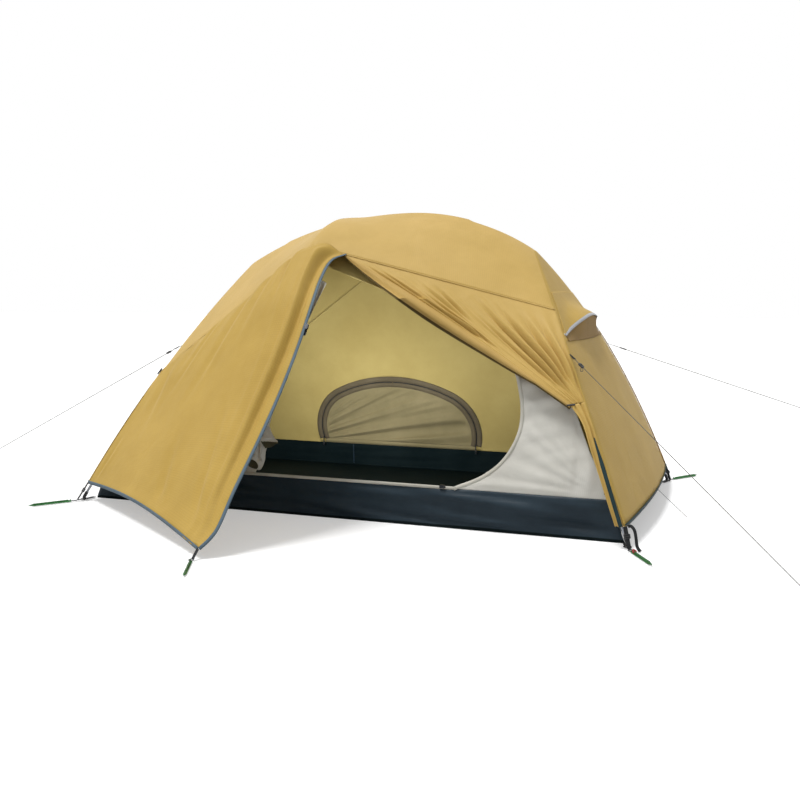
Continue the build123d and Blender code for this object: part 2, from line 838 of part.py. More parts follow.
def place_on_track(plane, radius, angle, shape):
    # the shape's Y runs along the track and its X points away from the track's centre
    return plane * (Rot(0, 0, angle) * (Pos(radius, 0, 0) * shape))


slider_rest = 2.0
save("fly_door_zip", door_zip())
save("door_slider", place_on_track(zip_plane(), coil_track, slider_rest, zip_slider(door_side)))
save("door_pull", place_on_track(zip_plane(), coil_track, slider_rest, Pos(0, 0, bail_hole) * zip_pull()))


def window_slider(side):
    angle = 90 - side * (90 + foot_turn - 7)
    return place_on_track(rear_plane * Pos(side * corner_x, corner_y, fabric / 2), window_corner_radius, angle,
                          Rot(180, 0, 0) * saddle_slider())


# the inner door's zip runs up the D and along the wall top to the hinge side
sill_height = 8


def door_edge_tape():
    centre = front_plane_point(0.143 * floor_length / 2, 0.357 * ridge_height)
    edge = [p + (centre - p).normalized() * tape_width for p in door_curve[:-1]]
    return skin(strip(door_curve[:-1], edge))


def sill_zip():
    start = door_curve[0].X - tape_width - clearance
    run = start - door_left_x - 2
    return Pos(start, wall_top(1, -1).Y, wall_top(1, -1).Z) * Box(
        run, fabric, sill_height, align=(Align.MAX, Align.MIN, Align.MIN))


def sill_slider():
    rim = wall_top(1, -1)
    spot = Vector(door_curve[0].X - 40, rim.Y + fabric / 2, rim.Z + sill_height / 2 + 1)
    return Plane(origin=spot, x_dir=(0, 0, 1), z_dir=(0, -1, 0)) * saddle_slider()


save("inner_door_zip", door_edge_tape(), sill_zip())
save("inner_door_slider", sill_slider())
save("window_slider_head", window_slider(1))
save("window_slider_foot", window_slider(-1))


# --- bunched inner door ------------------------------------------------------

bundle_gap = Vector(0, -0.2, 0)
bundle_top = front_plane_point(-0.224 * floor_length / 2, sill_level + 0.685 * door_rise) + bundle_gap
bundle_foot = front_plane_point(door_left_x + 12, sill_level + 0.0764 * door_rise) + bundle_gap
bundle_sizes = [(0, 24, 30), (0.2, 34, 42), (0.55, 26, 30), (0.85, 16, 18), (1, 9, 9)]


def inner_door():
    run = bundle_top - bundle_foot
    plane = Plane(origin=bundle_foot, z_dir=run, x_dir=(1, 0, 0))
    rings = []
    for share, width, depth in bundle_sizes:
        level = run.length * share
        rings.append([plane.from_local_coords(Vector(
            width * cos(pi * k / 5), depth / 2 * sin(pi * k / 5) - depth / 2, level)) for k in range(10)])
    return ring_tube(rings, level=False)


save("inner_door", inner_door())


# --- clips and wraps ---------------------------------------------------------

def hook_ring(centre, tangent, target):
    # an open ring on the pole with a shank that ends at the cloth
    towards = target - centre
    side = (towards - tangent * towards.dot(tangent)).normalized()
    reach = towards.dot(side) - shank_gap
    plane = Plane(origin=centre, x_dir=side, z_dir=tangent)
    outer = pole_radius + 3.2
    bore = RegularPolygon(pole_radius + clearance, pole_sides, major_radius=False)
    body = extrude(RegularPolygon(outer, pole_sides) - bore, amount=6, both=True)
    body -= Pos(-outer, 0, 0) * Box(outer, 6, 14)
    shank = Pos(outer - 1, 0, 0) * Box(
        reach - outer + 1, 3, 6, align=(Align.MIN, Align.CENTER, Align.CENTER))
    return plane * (body + shank)


def clip_on(curve, share):
    point = curve @ share
    return hook_ring(point, curve % share, sink(point))


clip_places = []
for name, curve in legs.items():
    seam = inner_seam_at[name]
    clip_places += [(curve, seam * 2 / 3), (curve, seam + (1 - seam) * 3 / 4)]
clip_places += [(head_ridge, 0.6), (foot_ridge, 1 - (1 - crossing_share) / 2)]
save("inner_clips", *[clip_on(curve, share) for curve, share in clip_places])


def wrap_on(curve, share):
    point = curve @ share
    return hook_ring(point, curve % share, lift(point, fly_stand_off - fabric))


save("fly_wraps", *[wrap_on(curve, waist_at[name]) for name, curve in legs.items()])


# --- guylines ------------------------------------------------------------------

loop_length = 32
loop_width = 11
line_ends = {
    "front_right": (pole_foot_x + 558, -pole_foot_y - 454, 9),
    "front_left": (-pole_foot_x - 1074, -0.05 * pole_foot_y, 9),
    "rear_right": (pole_foot_x + 566, pole_foot_y + 95, 0.291 * ridge_height),
}
free_direction = {"rear_left": Vector(-0.8, 0.5, -0.3)}


def guy_start(name):
    return lift(legs[name] @ waist_at[name], fly_stand_off + clearance)


def guy_direction(name):
    if name in free_direction:
        return free_direction[name].normalized()
    return (vec(line_ends[name]) - guy_start(name)).normalized()


def guy_plane(name, distance):
    heading = guy_direction(name)
    side = heading.cross(Vector(0, 0, 1))
    return Plane(origin=guy_start(name) + heading * distance, x_dir=heading, z_dir=side.cross(heading))


def guy_loop(name):
    half = loop_width / 2
    outline = Polygon((0, -2), (loop_length, -half), (loop_length, half), (0, 2), align=None)
    return extrude(guy_plane(name, 2 * clearance) * outline, amount=strap_thick / 2, both=True)


def guyline(name):
    heading = guy_direction(name)
    start = guy_start(name) + heading * (loop_length + 2 * clearance)
    return bar(start, vec(line_ends[name]), cord_radius, cord_sides)


def end_loop(name):
    # the eye at the end of a line that nothing here holds
    length = (vec(line_ends[name]) - guy_start(name)).length
    plane = guy_plane(name, length + eye_radius)
    eye = RegularPolygon(eye_radius + cord_radius, 16) - RegularPolygon(eye_radius - cord_radius, 16)
    return extrude(plane * eye, amount=cord_radius / 2, both=True)


hem_line_end = (pole_foot_x + 142, -0.136 * pole_foot_y, 1.6)


def hem_line():
    middle = hem_of_end(1)[2][3]
    start = lift(middle, clearance)
    return bar(start, vec(hem_line_end), cord_radius, cord_sides)


tensioner_length = 26
tensioner_rest = 40
bore_half = cord_radius + 0.5


def tensioner(name):
    body = Box(tensioner_length, 12, 5)
    body = chamfer(body.edges().filter_by(Axis.Z), 3.5)
    body -= Box(tensioner_length + 2, 2 * bore_half, 2 * bore_half)
    body -= Box(9, 7, 8)
    return guy_plane(name, loop_length + tensioner_rest) * body


save("guy_loops", *[guy_loop(name) for name in legs])
save("guyline_front_right", guyline("front_right"))
save("guyline_front_left", guyline("front_left"))
save("guyline_rear_right", guyline("rear_right") + end_loop("rear_right"))
save("hem_line", hem_line())
for name in line_ends:
    save("tensioner_" + name, tensioner(name))


# --- stakes ----------------------------------------------------------------------

vane_height = 6
vane_thick = 1.6
hook_reach = 9.4


def stake(eye, heading):
    # three vanes, a point at the far end and a notched head that holds a loop
    run = Vector(heading.X, heading.Y, 0).normalized()
    plane = Plane(origin=Vector(eye.X, eye.Y, vane_height), x_dir=run, z_dir=(0, 0, 1))
    body = Box(stake_length, vane_thick, vane_height, align=(Align.MIN, Align.CENTER, Align.MIN))
    for turn in (120, 240):
        body += Rot(turn, 0, 0) * Box(stake_length, vane_thick, vane_height,
                                      align=(Align.MIN, Align.CENTER, Align.MIN))
    tip = Polygon((stake_length - 26, vane_height + 1), (stake_length + 1, vane_height + 1),
                  (stake_length + 1, 0), (stake_length, 0), align=None)
    for turn in (0, 120, 240):
        body -= Rot(turn, 0, 0) * extrude(Plane.XZ * tip, amount=4, both=True)
    body -= Pos(8, 0, 3.4) * Box(6, 6, vane_height, align=(Align.CENTER, Align.CENTER, Align.MIN))
    return plane * body


corner_headings = {"front_right": (0.49, -0.87), "rear_right": (0.56, 0.83),
                   "front_left": (-0.57, -0.82), "rear_left": (-0.57, 0.82)}


def corner_stake(name):
    eye = stake_eye(*corners[name])
    heading = Vector(*corner_headings[name], 0)
    return stake(eye + heading * hook_reach, heading)


def porch_strap(apex, hem_point):
    # a short web from the hem's low point out to its eye on the ground
    heading = Vector(0, 1 if apex.Y > 0 else -1, 0)
    eye = Vector(apex.X, apex.Y, 0) + heading * 34
    low = post(eye.X, eye.Y, tab_height - strap_thick, tab_height, eye_radius)
    rim = Vector(eye.X, eye.Y, tab_height - strap_thick / 2) - heading * (eye_radius - 1.5)
    run = hem_point - rim
    start = hem_point - run.normalized() * clearance * 2
    plane = Plane(origin=rim, x_dir=(1, 0, 0), z_dir=run)
    web = plane * Box(10, strap_thick, (start - rim).length,
                      align=(Align.CENTER, Align.CENTER, Align.MIN))
    return low + web - post(eye.X, eye.Y, 0, 40, eye_radius - 3), eye, heading


front_hem = door_left()[-1][-1]
rear_hem = vec(rear_apex)
front_strap, front_eye, _ = porch_strap(vec(porch_apex), front_hem)
rear_strap, rear_eye, rear_heading = porch_strap(vec(rear_apex), rear_hem)
porch_stake_heading = Vector(0.43, -0.9, 0).normalized()


def guy_stake(name):
    heading = Vector(guy_direction(name).X, guy_direction(name).Y, 0).normalized()
    end = vec(line_ends[name])
    return stake(Vector(end.X, end.Y, 0) + heading * 0.5, heading)


save("ground_stakes",
     *[corner_stake(name) for name in corners],
     stake(front_eye + porch_stake_heading * hook_reach, porch_stake_heading),
     stake(rear_eye + rear_heading * hook_reach, rear_heading),
     guy_stake("front_right"), guy_stake("front_left"))

# --- corner straps and buckles -------------------------------------------------

buckle_width = 22
buckle_length = 17
buckle_height = 5
corner_strap_width = 14
strap_foot_reach = 31


def corner_strap_ends(name):
    signs = corners[name]
    top = fly_leg(name, fly_hem_at[name], 1, 2)[0]
    _, foot, _ = corner_frame(*signs)
    outward = (stake_eye(*signs) - foot).normalized()
    low = foot + outward * strap_foot_reach + Vector(0, 0, tab_height + clearance)
    return top, low


def corner_plane(name, share):
    top, low = corner_strap_ends(name)
    run = low - top
    side = run.cross(Vector(0, 0, 1))
    return Plane(origin=top + run * share, x_dir=side, z_dir=run)


def corner_strap(name):
    top, low = corner_strap_ends(name)
    gap = 0.9
    return corner_plane(name, 0) * Pos(0, 0, gap) * Box(
        corner_strap_width, strap_thick, (low - top).length - 2 * gap,
        align=(Align.CENTER, Align.CENTER, Align.MIN))


def corner_buckle(name):
    body = Box(buckle_width, buckle_height, buckle_length)
    body = chamfer(body.edges().filter_by(Axis.Y), 3)
    body -= Box(corner_strap_width + 2 * clearance, strap_thick + 2 * clearance, buckle_length + 2)
    for side in (-1, 1):
        body -= Pos(0, 0, side * 4) * Box(corner_strap_width, buckle_height + 2, 3)
    return corner_plane(name, 0.45) * body


save("ground_straps", *[corner_strap(name) for name in corners], front_strap, rear_strap)
for name in corners:
    save("corner_buckle_" + name, corner_buckle(name))

# --- tie-backs -------------------------------------------------------------------

toggle_length = 28
toggle_radius = 3


def toggle(point, axis):
    centre = lift(point, toggle_radius + 3 * clearance)
    return bar(centre - axis * toggle_length / 2, centre + axis * toggle_length / 2, toggle_radius)


foot_tie = fly_leg("front_left", foot_seam_at, 1, 2)[0]
save("tie_toggle_head", toggle(tie_point, Vector(0.9, 0.3, 0.1).normalized()))
save("tie_toggle_foot", toggle(foot_tie, (legs["front_left"] % foot_seam_at)))

# --- vent hood ---------------------------------------------------------------------

hood_top_at = 0.22
hood_lip_at = 0.39
hood_reach = 24
hood_arch = 62
strut_height = 0.594 * ridge_height
strut_width = 16
strut_thick = 2


def end_panel_point(sign_x, height):
    front, rear, hem = hem_of_end(sign_x)
    middle = [row[len(row) // 2] for row in coons([front[0]] * 7, hem, front, rear)]
    for upper, lower in zip(middle, middle[1:]):
        if upper.Z >= height >= lower.Z:
            return upper + (lower - upper) * ((upper.Z - height) / (upper.Z - lower.Z))
    return middle[-1]


def hood_rows():
    top_front, lip_front = fly_leg("front_right", hood_top_at, hood_lip_at, 2)
    top_rear, lip_rear = fly_leg("rear_right", hood_top_at, hood_lip_at, 2)
    inset = Vector(0, 8, 0)
    middle = (top_front + top_rear) / 2
    shift = Vector(end_panel_point(1, middle.Z).X - middle.X + fabric + 2 * clearance, 0, 0)
    top = [p + shift for p in between(top_front + inset, top_rear - inset, 7)]
    lip = between(lip_front + inset + shift, lip_rear - inset + shift, 7)
    lip = [p + Vector(hood_reach, 0, hood_arch) * sin(pi * i / 6) for i, p in enumerate(lip)]
    return strip(top, lip, 3)


hood = hood_rows()
save("vent_hood", skin(hood))


strut_base = end_panel_point(1, strut_height) + Vector(strut_thick + 2, 0, 1)
strut_tip = hood[1][3] * 0.35 + hood[2][3] * 0.65 + inward(hood[2][3]) * (fabric + 1.9)


def vent_strut():
    run = strut_tip - strut_base
    plane = Plane(origin=strut_base, x_dir=(0, 1, 0), z_dir=run)
    return plane * Box(strut_width, strut_thick, run.length, align=(Align.CENTER, Align.CENTER, Align.MIN))


save("vent_strut", vent_strut())
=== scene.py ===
from math import atan2, cos, exp, pi, radians, sin, sqrt

import bmesh
import bpy
from mathutils import Matrix, Vector, noise
from mathutils.bvhtree import BVHTree


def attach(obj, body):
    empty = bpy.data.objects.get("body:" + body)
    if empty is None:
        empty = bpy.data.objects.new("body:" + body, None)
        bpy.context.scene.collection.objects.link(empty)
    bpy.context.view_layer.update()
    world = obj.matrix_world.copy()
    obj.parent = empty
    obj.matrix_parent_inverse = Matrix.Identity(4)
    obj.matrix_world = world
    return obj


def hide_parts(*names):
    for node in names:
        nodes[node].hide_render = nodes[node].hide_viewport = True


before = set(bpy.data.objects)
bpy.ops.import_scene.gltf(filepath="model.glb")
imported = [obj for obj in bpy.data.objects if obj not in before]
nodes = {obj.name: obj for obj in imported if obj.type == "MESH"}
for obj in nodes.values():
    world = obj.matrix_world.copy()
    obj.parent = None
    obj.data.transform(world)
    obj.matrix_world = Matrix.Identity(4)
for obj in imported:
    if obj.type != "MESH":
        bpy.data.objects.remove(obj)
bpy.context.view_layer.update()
scene = bpy.context.scene


def placed(name, data):
    # a new object in the scene
    made = bpy.data.objects.new(name, data)
    scene.collection.objects.link(made)
    return made


# camera

view = {"place": (1.492, -3.811, 0.82), "turn": 0.362, "dip": 0.107, "lens": 44.74, "sensor": 36}


def setCamera():
    data = bpy.data.cameras.new("viewCamera")
    data.lens = view["lens"]
    data.sensor_width = view["sensor"]
    camera = placed("viewCamera", data)
    camera.location = view["place"]
    camera.rotation_euler = (pi / 2 - view["dip"], 0, view["turn"])
    scene.camera = camera


setCamera()
scene.view_settings.view_transform = "Standard"
print("camera set")

# The tent's own lines, each a function from 0..1 to a point. The head end is at +X, the doorway at -Y.

tent = {
    "ridgeApex": (0.100, 0, 1.120),
    "headHub": (0.5954, 0, 0.9699),
    "footHub": (-0.5996, 0, 0.9451),
    "headWaist": (0.811, 0.3898, 0.600),
    "footWaist": (-0.7718, 0.320, 0.594),
    "poleFoot": (1.066, 0.610, 0.014),
    "crossX": -0.1733, "crossReach": 0.3465, "crossDrop": 0.1232, "crossLift": 0.0098,
    "flyStandOff": 0.021, "innerHang": 0.038,
    "headSeam": 0.30, "footSeam": 0.52, "headInnerSeam": 0.44, "footInnerSeam": 0.5,
    "zipShare": 1 / 7, "tie": 0.61,
    "hemHeight": 0.077, "hemBow": 0.034, "hemRise": 0.034,
    "zipBend": (-0.0525, -0.6142, 0.7963), "zipWaist": (-0.078, -0.9449, 0.373),
    "zipFoot": (-0.1628, -1.212, 0.032),
    "rearApex": (-0.1733, 0.960, 0.030),
}
# which side of the tent each sign of y and of x stands for
rows = {-1: "front", 1: "rear"}
halves = {-1: "Left", 1: "Right"}
legNames = ("frontRight", "rearRight", "frontLeft", "rearLeft")


def mix(a, b, t):
    return a * (1 - t) + b * t


def clamp(t):
    return min(max(t, 0), 1)


def straight(a, b):
    a, b = Vector(a), Vector(b)
    return lambda t: mix(a, b, t)


def arcThrough(a, b, c):
    # the round arc from a by way of b to c
    a, b, c = Vector(a), Vector(b), Vector(c)
    ab, ac = b - a, c - a
    normal = ab.cross(ac)
    centre = a + (ac.length_squared * normal.cross(ab) + ab.length_squared * ac.cross(normal)) / (
        2 * normal.length_squared)
    normal.normalize()
    ra, rc = a - centre, c - centre
    total = atan2(normal.dot(ra.cross(rc)), ra.dot(rc)) % (2 * pi)
    return lambda t: centre + Matrix.Rotation(total * t, 3, normal) @ ra


def part(line, start, end):
    return lambda t: line(start + (end - start) * t)


def splineThrough(points):
    # a smooth line through points, spaced by the distances between them
    points = [Vector(p) for p in points]
    lengths = [0]
    for p, q in zip(points, points[1:]):
        lengths.append(lengths[-1] + max((q - p).length, 1e-6))
    ends = [points[0] * 2 - points[1]] + points + [points[-1] * 2 - points[-2]]

    def at(t):
        goal = clamp(t) * lengths[-1]
        i = 0
        while i < len(points) - 2 and lengths[i + 1] < goal:
            i += 1
        s = (goal - lengths[i]) / (lengths[i + 1] - lengths[i])
        p0, p1, p2, p3 = ends[i:i + 4]
        return 0.5 * ((2 * p1) + (p2 - p0) * s + (2 * p0 - 5 * p1 + 4 * p2 - p3) * s * s
                      + (3 * p1 - p0 - 3 * p2 + p3) * s ** 3)
    return at


def shareWhere(line, test):
    # how far along a line the test stops holding
    low, high = 0.0, 1.0
    for _ in range(30):
        middle = (low + high) / 2
        if test(line(middle)):
            low = middle
        else:
            high = middle
    return low


def inwardAt(p):
    return (Vector((0.45 * p.x, 0.2 * p.y, 0.25)) - p).normalized()


def off(p, distance):
    # a point moved out of the tent, away from its middle
    return p - inwardAt(p) * distance


def reach(name):
    # the signs of the corner that a leg stands on
    return (1 if name.endswith("Right") else -1), (-1 if name.startswith("front") else 1)


def endValue(name, what):
    # the tent's value for the end that a leg or a half is at
    return tent[("head" if name.endswith("Right") else "foot") + what]


def legLine(name):
    sx, sy = reach(name)
    waist, foot = endValue(name, "Waist"), tent["poleFoot"]
    return arcThrough(endValue(name, "Hub"), (waist[0], sy * waist[1], waist[2]),
                      (sx * foot[0], sy * foot[1], foot[2]))


def legShare(name, height):
    return shareWhere(legs[name], lambda p: p.z > height)


def ridgeHalf(hub):
    hub = Vector(hub)
    mirrored = Vector((2 * apex.x - hub.x, 0, hub.z))
    return part(arcThrough(mirrored, apex, hub), 0.5, 1)


legs = {name: legLine(name) for name in legNames}
apex = Vector(tent["ridgeApex"])
headRidge = ridgeHalf(tent["headHub"])
footRidge = ridgeHalf(tent["footHub"])
crossShare = shareWhere(footRidge, lambda p: p.x > tent["crossX"])
crossTop = footRidge(crossShare) + Vector((0, 0, tent["crossLift"]))
crossTips = {side: crossTop + Vector((0, side * tent["crossReach"], -tent["crossDrop"])) for side in rows}
crossPole = arcThrough(crossTips[-1], crossTop, crossTips[1])
hemShare = {name: legShare(name, tent["hemHeight"]) for name in legNames}
waistShare = {name: legShare(name, endValue(name, "Waist")[2]) for name in legNames}
seamShare = {name: endValue(name, "Seam") for name in legNames}

# making pieces


def titled(start, name):
    return start + name[0].upper() + name[1:]


def finishPiece(name, bm, finish, slotName, stands=(), body="shelter", thickness=0, flat=False, cut=None,
                held="stretched", rests=()):
    # cut is the cloth's size before it was sewn or hung, where the piece is a sheet; it is not used
    mesh = bpy.data.meshes.new(name)
    sewn = sum(face.calc_area() for face in bm.faces)
    bm.normal_update()
    bm.to_mesh(mesh)
    bm.free()
    piece = placed(name, mesh)
    mesh.materials.append(finishes[finish])
    if not flat:
        mesh.shade_smooth()
    if thickness:
        solid = piece.modifiers.new("thickness", "SOLIDIFY")
        solid.thickness = thickness
        solid.offset = 0
    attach(piece, body)
    if stands:
        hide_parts(*stands)
    if cut:
        list(rests)
    return piece


def closeUp(bm, gap=0.0004):
    bmesh.ops.remove_doubles(bm, verts=bm.verts, dist=gap)
    bmesh.ops.recalc_face_normals(bm, faces=bm.faces)


def addPatch(bm, place, across, down, size=(1, 1)):
    # a grid laid over a surface given as place(u, v), with a thread map in metres
    uv = bm.loops.layers.uv.verify()
    made = bmesh.ops.create_grid(bm, x_segments=across, y_segments=down, size=0.5)["verts"]
    for face in {f for vert in made for f in vert.link_faces}:
        for loop in face.loops:
            loop[uv].uv = ((loop.vert.co.x + 0.5) * size[0], (0.5 - loop.vert.co.y) * size[1])
    for vert in made:
        vert.co = place(vert.co.x + 0.5, 0.5 - vert.co.y)
    return made


def patchPiece(name, finish, slotName, place, across, down, size, **rest):
    bm = bmesh.new()
    addPatch(bm, place, across, down, size)
    closeUp(bm)
    return finishPiece(name, bm, finish, slotName, **rest)


def twoTone(piece, finish, test):
    # gives the faces that pass the test a second finish
    piece.data.materials.append(finishes[finish])
    for face in piece.data.polygons:
        if test(face):
            face.material_index = 1


def ease(bm, times, test=None):
    # rounds a cloth where it bends over a pole, and leaves its edges where they are
    inside = [v for v in bm.verts if not v.is_boundary and (test is None or test(v.co))]
    for _ in range(times):
        bmesh.ops.smooth_vert(bm, verts=inside, factor=0.5, use_axis_x=True, use_axis_y=True, use_axis_z=True)


def coons(top, bottom, left, right):
    # the surface between four lines
    a, b, c, d = top(0), top(1), bottom(0), bottom(1)

    def place(u, v):
        ruledV = mix(top(u), bottom(u), v)
        ruledU = mix(left(v), right(v), u)
        flatFour = mix(mix(a, b, u), mix(c, d, u), v)
        return ruledV + ruledU - flatFour
    return place


def creased(place, depth):
    # moves a surface out along its stand-off by depth(u, v, point)
    def moved(u, v):
        p = place(u, v)
        return off(p, depth(u, v, p))
    return moved


def edgeFade(t, width):
    return min(t / width, (1 - t) / width, 1)


def sag(u, v):
    # how far a cloth hangs in, most in its middle
    return sin(pi * u) * sin(pi * v)


def easeIn(t):
    t = clamp(t)
    return t * t * (3 - 2 * t)


def bell(t, centre, width):
    return exp(-((t - centre) / width) ** 2)


def pulls(strokes):
    # folds that a pull leaves in a cloth, each from u0, v0 to u1, v1 with its half width and depth in metres;
    # wide is how wide the cloth is there, and last is where along it a fold is deepest
    def depth(u, v, wide, narrow=1.0):
        total = 0
        for u0, v0, u1, v1, half, deep, last in strokes:
            t = (v - v0) / (v1 - v0)
            if not 0 < t < 1:
                continue
            across = (u - mix(u0, u1, t)) * wide / (half * narrow)
            if abs(across) > 4:
                continue
            swell = easeIn(t / last if t < last else (1 - t) / (1 - last))
            total += deep * swell * (0.6 * bell(across, 1.7, 1.2) - bell(across, 0, 1)
                                     + 0.25 * bell(across, -1.9, 1.2))
        return total
    return depth


def crumple(x, y, seed, sharp=1.0):
    # one soft fold pattern between about -1 and 1
    value = noise.noise(Vector((x, y, seed)))
    return (abs(value) ** sharp) * (1 if value > 0 else -1) * 2


def ribbon(name, finish, slotName, line, width, thickness, steps=60, rise=0.0, facing=None, stands=(),
           taper=None):
    # a flat strip centred on a line; its face looks out of the tent, or along facing
    def place(u, v):
        p = line(u)
        along = (line(min(u + 0.01, 1)) - line(max(u - 0.01, 0))).normalized()
        out = -inwardAt(p) if facing is None else Vector(facing)
        out = (out - along * out.dot(along)).normalized()
        wide = width * (taper(u) if taper else 1)
        return p + along.cross(out) * (v - 0.5) * wide + out * rise
    bm = bmesh.new()
    length = sum((line((i + 1) / 20) - line(i / 20)).length for i in range(20))
    addPatch(bm, place, steps, 2, (length, width))
    return finishPiece(name, bm, finish, slotName, stands=stands, thickness=thickness)


def tube(bm, line, radius, steps, sides, shape=None, lean=None):
    # a round rod along a line; shape(u, angle) scales its radius, and only a closed ring has a lean
    uv = bm.loops.layers.uv.verify()
    made = bmesh.ops.create_grid(bm, x_segments=steps, y_segments=sides, size=0.5)["verts"]
    start, end = (0, 1) if lean is None else (-1, 2)
    if lean is None:
        first = line(0.02) - line(0)
        lean = Vector((0, 0, 1)) if abs(first.normalized().z) < 0.8 else Vector((1, 0, 0))
    for vert in made:
        u, angle = vert.co.x + 0.5, (vert.co.y + 0.5) * 2 * pi
        for loop in vert.link_loops:
            loop[uv].uv = (u, angle / (2 * pi))
        along = (line(min(u + 0.01, end)) - line(max(u - 0.01, start))).normalized()
        side = along.cross(lean).normalized()
        up = side.cross(along)
        r = radius * (shape(u, angle) if shape else 1)
        vert.co = line(u) + side * cos(angle) * r + up * sin(angle) * r
    bmesh.ops.remove_doubles(bm, verts=made, dist=0.00005)
    rims = [e for e in bm.edges if e.is_boundary]
    bmesh.ops.holes_fill(bm, edges=rims, sides=sides + 4)
    bmesh.ops.recalc_face_normals(bm, faces=bm.faces)


def tubePiece(name, finish, slotName, line, radius, steps, sides, shape=None, lean=None, stands=()):
    bm = bmesh.new()
    tube(bm, line, radius, steps, sides, shape, lean)
    return finishPiece(name, bm, finish, slotName, stands=stands)


# materials


def isOutput(value):
    return hasattr(value, "is_output")


def setUp(tree, node, **values):
    # each value is a setting, an input's value, or an output that is linked to the input
    for key, value in values.items():
        label = key.replace("_", " ")
        if label not in node.inputs.keys():
            setattr(node, key, value)
        elif isOutput(value):
            tree.links.new(value, node.inputs[label])
        else:
            node.inputs[label].default_value = value
    return node


def nodeAt(tree, kind, **values):
    return setUp(tree, tree.nodes.new(kind), **values)


def mathAt(tree, how, *values):
    made = nodeAt(tree, "ShaderNodeMath", operation=how)
    for socket, value in zip(made.inputs, values):
        if isOutput(value):
            tree.links.new(value, socket)
        else:
            socket.default_value = value
    return made.outputs[0]


def rampAt(tree, source, *stops):
    ramp = nodeAt(tree, "ShaderNodeValToRGB", Fac=source)
    for element, (place, colour) in zip(ramp.color_ramp.elements, stops):
        element.position = place
        element.color = (*colour, 1)
    return ramp.outputs["Color"]


def newMaterial(name):
    made = bpy.data.materials.new(name)
    made.use_nodes = True
    return made, made.node_tree, made.node_tree.nodes["Principled BSDF"]


weave = {"thread": 0.0006, "grid": 0.006, "gridDepth": 0.5, "waveLength": 0.314, "gridEdge": 12.0}


def weaveGroup():
    # threads and the coarser ripstop grid, as a height and a mask
    group = bpy.data.node_groups.new("clothThreads", "ShaderNodeTree")
    face = group.interface
    for label, key in (("Thread", "thread"), ("Grid", "grid"), ("Grid Depth", "gridDepth")):
        socket = face.new_socket(label, in_out="INPUT", socket_type="NodeSocketFloat")
        socket.default_value = weave[key]
    for label in ("Height", "Grid Mask", "Drift"):
        face.new_socket(label, in_out="OUTPUT", socket_type="NodeSocketFloat")
    given = group.nodes.new("NodeGroupInput").outputs
    place = group.nodes.new("ShaderNodeUVMap").outputs[0]
    where = group.nodes.new("ShaderNodeTexCoord").outputs["Object"]

    def bands(pitch):
        return [nodeAt(group, "ShaderNodeTexWave", wave_type="BANDS", bands_direction=axis, Vector=place,
                       Scale=mathAt(group, "DIVIDE", weave["waveLength"], pitch)).outputs["Fac"]
                for axis in ("X", "Y")]
    threads = mathAt(group, "MULTIPLY", *bands(given["Thread"]))
    lines = [mathAt(group, "POWER", band, weave["gridEdge"]) for band in bands(given["Grid"])]
    grid = mathAt(group, "MAXIMUM", *lines)
    raised = mathAt(group, "MULTIPLY", grid, given["Grid Depth"])
    drift = nodeAt(group, "ShaderNodeTexNoise", Vector=where, Scale=5.0, Detail=5.0, Roughness=0.6)
    nodeAt(group, "NodeGroupOutput", Height=mathAt(group, "ADD", threads, raised), Grid_Mask=grid,
           Drift=drift.outputs["Fac"])
    return group


clothThreads = weaveGroup()


def cloth(name, dark, light, rough=0.6, sheen=0.03, shine=0.2, grid=0.006, gridDepth=0.4, bump=0.15,
          creases=0.25):
    made, tree, shader = newMaterial(name)
    threads = nodeAt(tree, "ShaderNodeGroup", node_tree=clothThreads, Thread=weave["thread"], Grid=grid,
                     Grid_Depth=gridDepth).outputs
    tone = nodeAt(tree, "ShaderNodeMapRange", Value=threads["Grid Mask"], To_Min=1.0, To_Max=0.9)
    # a colour mix has its factor, colours and result at these sockets
    shade = nodeAt(tree, "ShaderNodeMix", data_type="RGBA", blend_type="MULTIPLY")
    shade.inputs[0].default_value = 1
    tree.links.new(rampAt(tree, threads["Drift"], (0.35, dark), (0.68, light)), shade.inputs[6])
    tree.links.new(tone.outputs["Result"], shade.inputs[7])
    fine = nodeAt(tree, "ShaderNodeBump", Strength=bump, Distance=0.0004, Height=threads["Height"])
    place = tree.nodes.new("ShaderNodeTexCoord").outputs["Object"]
    soft = nodeAt(tree, "ShaderNodeTexNoise", Vector=place, Scale=9.0, Detail=4.0, Roughness=0.5,
                  Distortion=0.6)
    wide = nodeAt(tree, "ShaderNodeBump", Strength=creases, Distance=0.01, Height=soft.outputs["Fac"],
                  Normal=fine.outputs["Normal"])
    setUp(tree, shader, Roughness=rough, Sheen_Weight=sheen, Sheen_Roughness=0.5, Specular_IOR_Level=shine,
          Base_Color=shade.outputs[2], Normal=wide.outputs["Normal"])
    return made


def hard(name, base, rough=0.4, metallic=0.0, speck=60.0, depth=0.1, wear=0.15):
    made, tree, shader = newMaterial(name)
    place = tree.nodes.new("ShaderNodeTexCoord").outputs["Object"]
    grain = nodeAt(tree, "ShaderNodeTexNoise", Vector=place, Scale=speck, Detail=4.0).outputs["Fac"]
    worn = [c * (1 - wear) for c in base]
    fresh = [min(c * (1 + wear) + 0.005, 1) for c in base]
    spread = nodeAt(tree, "ShaderNodeMapRange", Value=grain, To_Min=rough - 0.08, To_Max=rough + 0.08)
    bump = nodeAt(tree, "ShaderNodeBump", Strength=depth, Distance=0.0005, Height=grain)
    setUp(tree, shader, Metallic=metallic, Base_Color=rampAt(tree, grain, (0.3, worn), (0.75, fresh)),
          Roughness=spread.outputs["Result"], Normal=bump.outputs["Normal"])
    return made


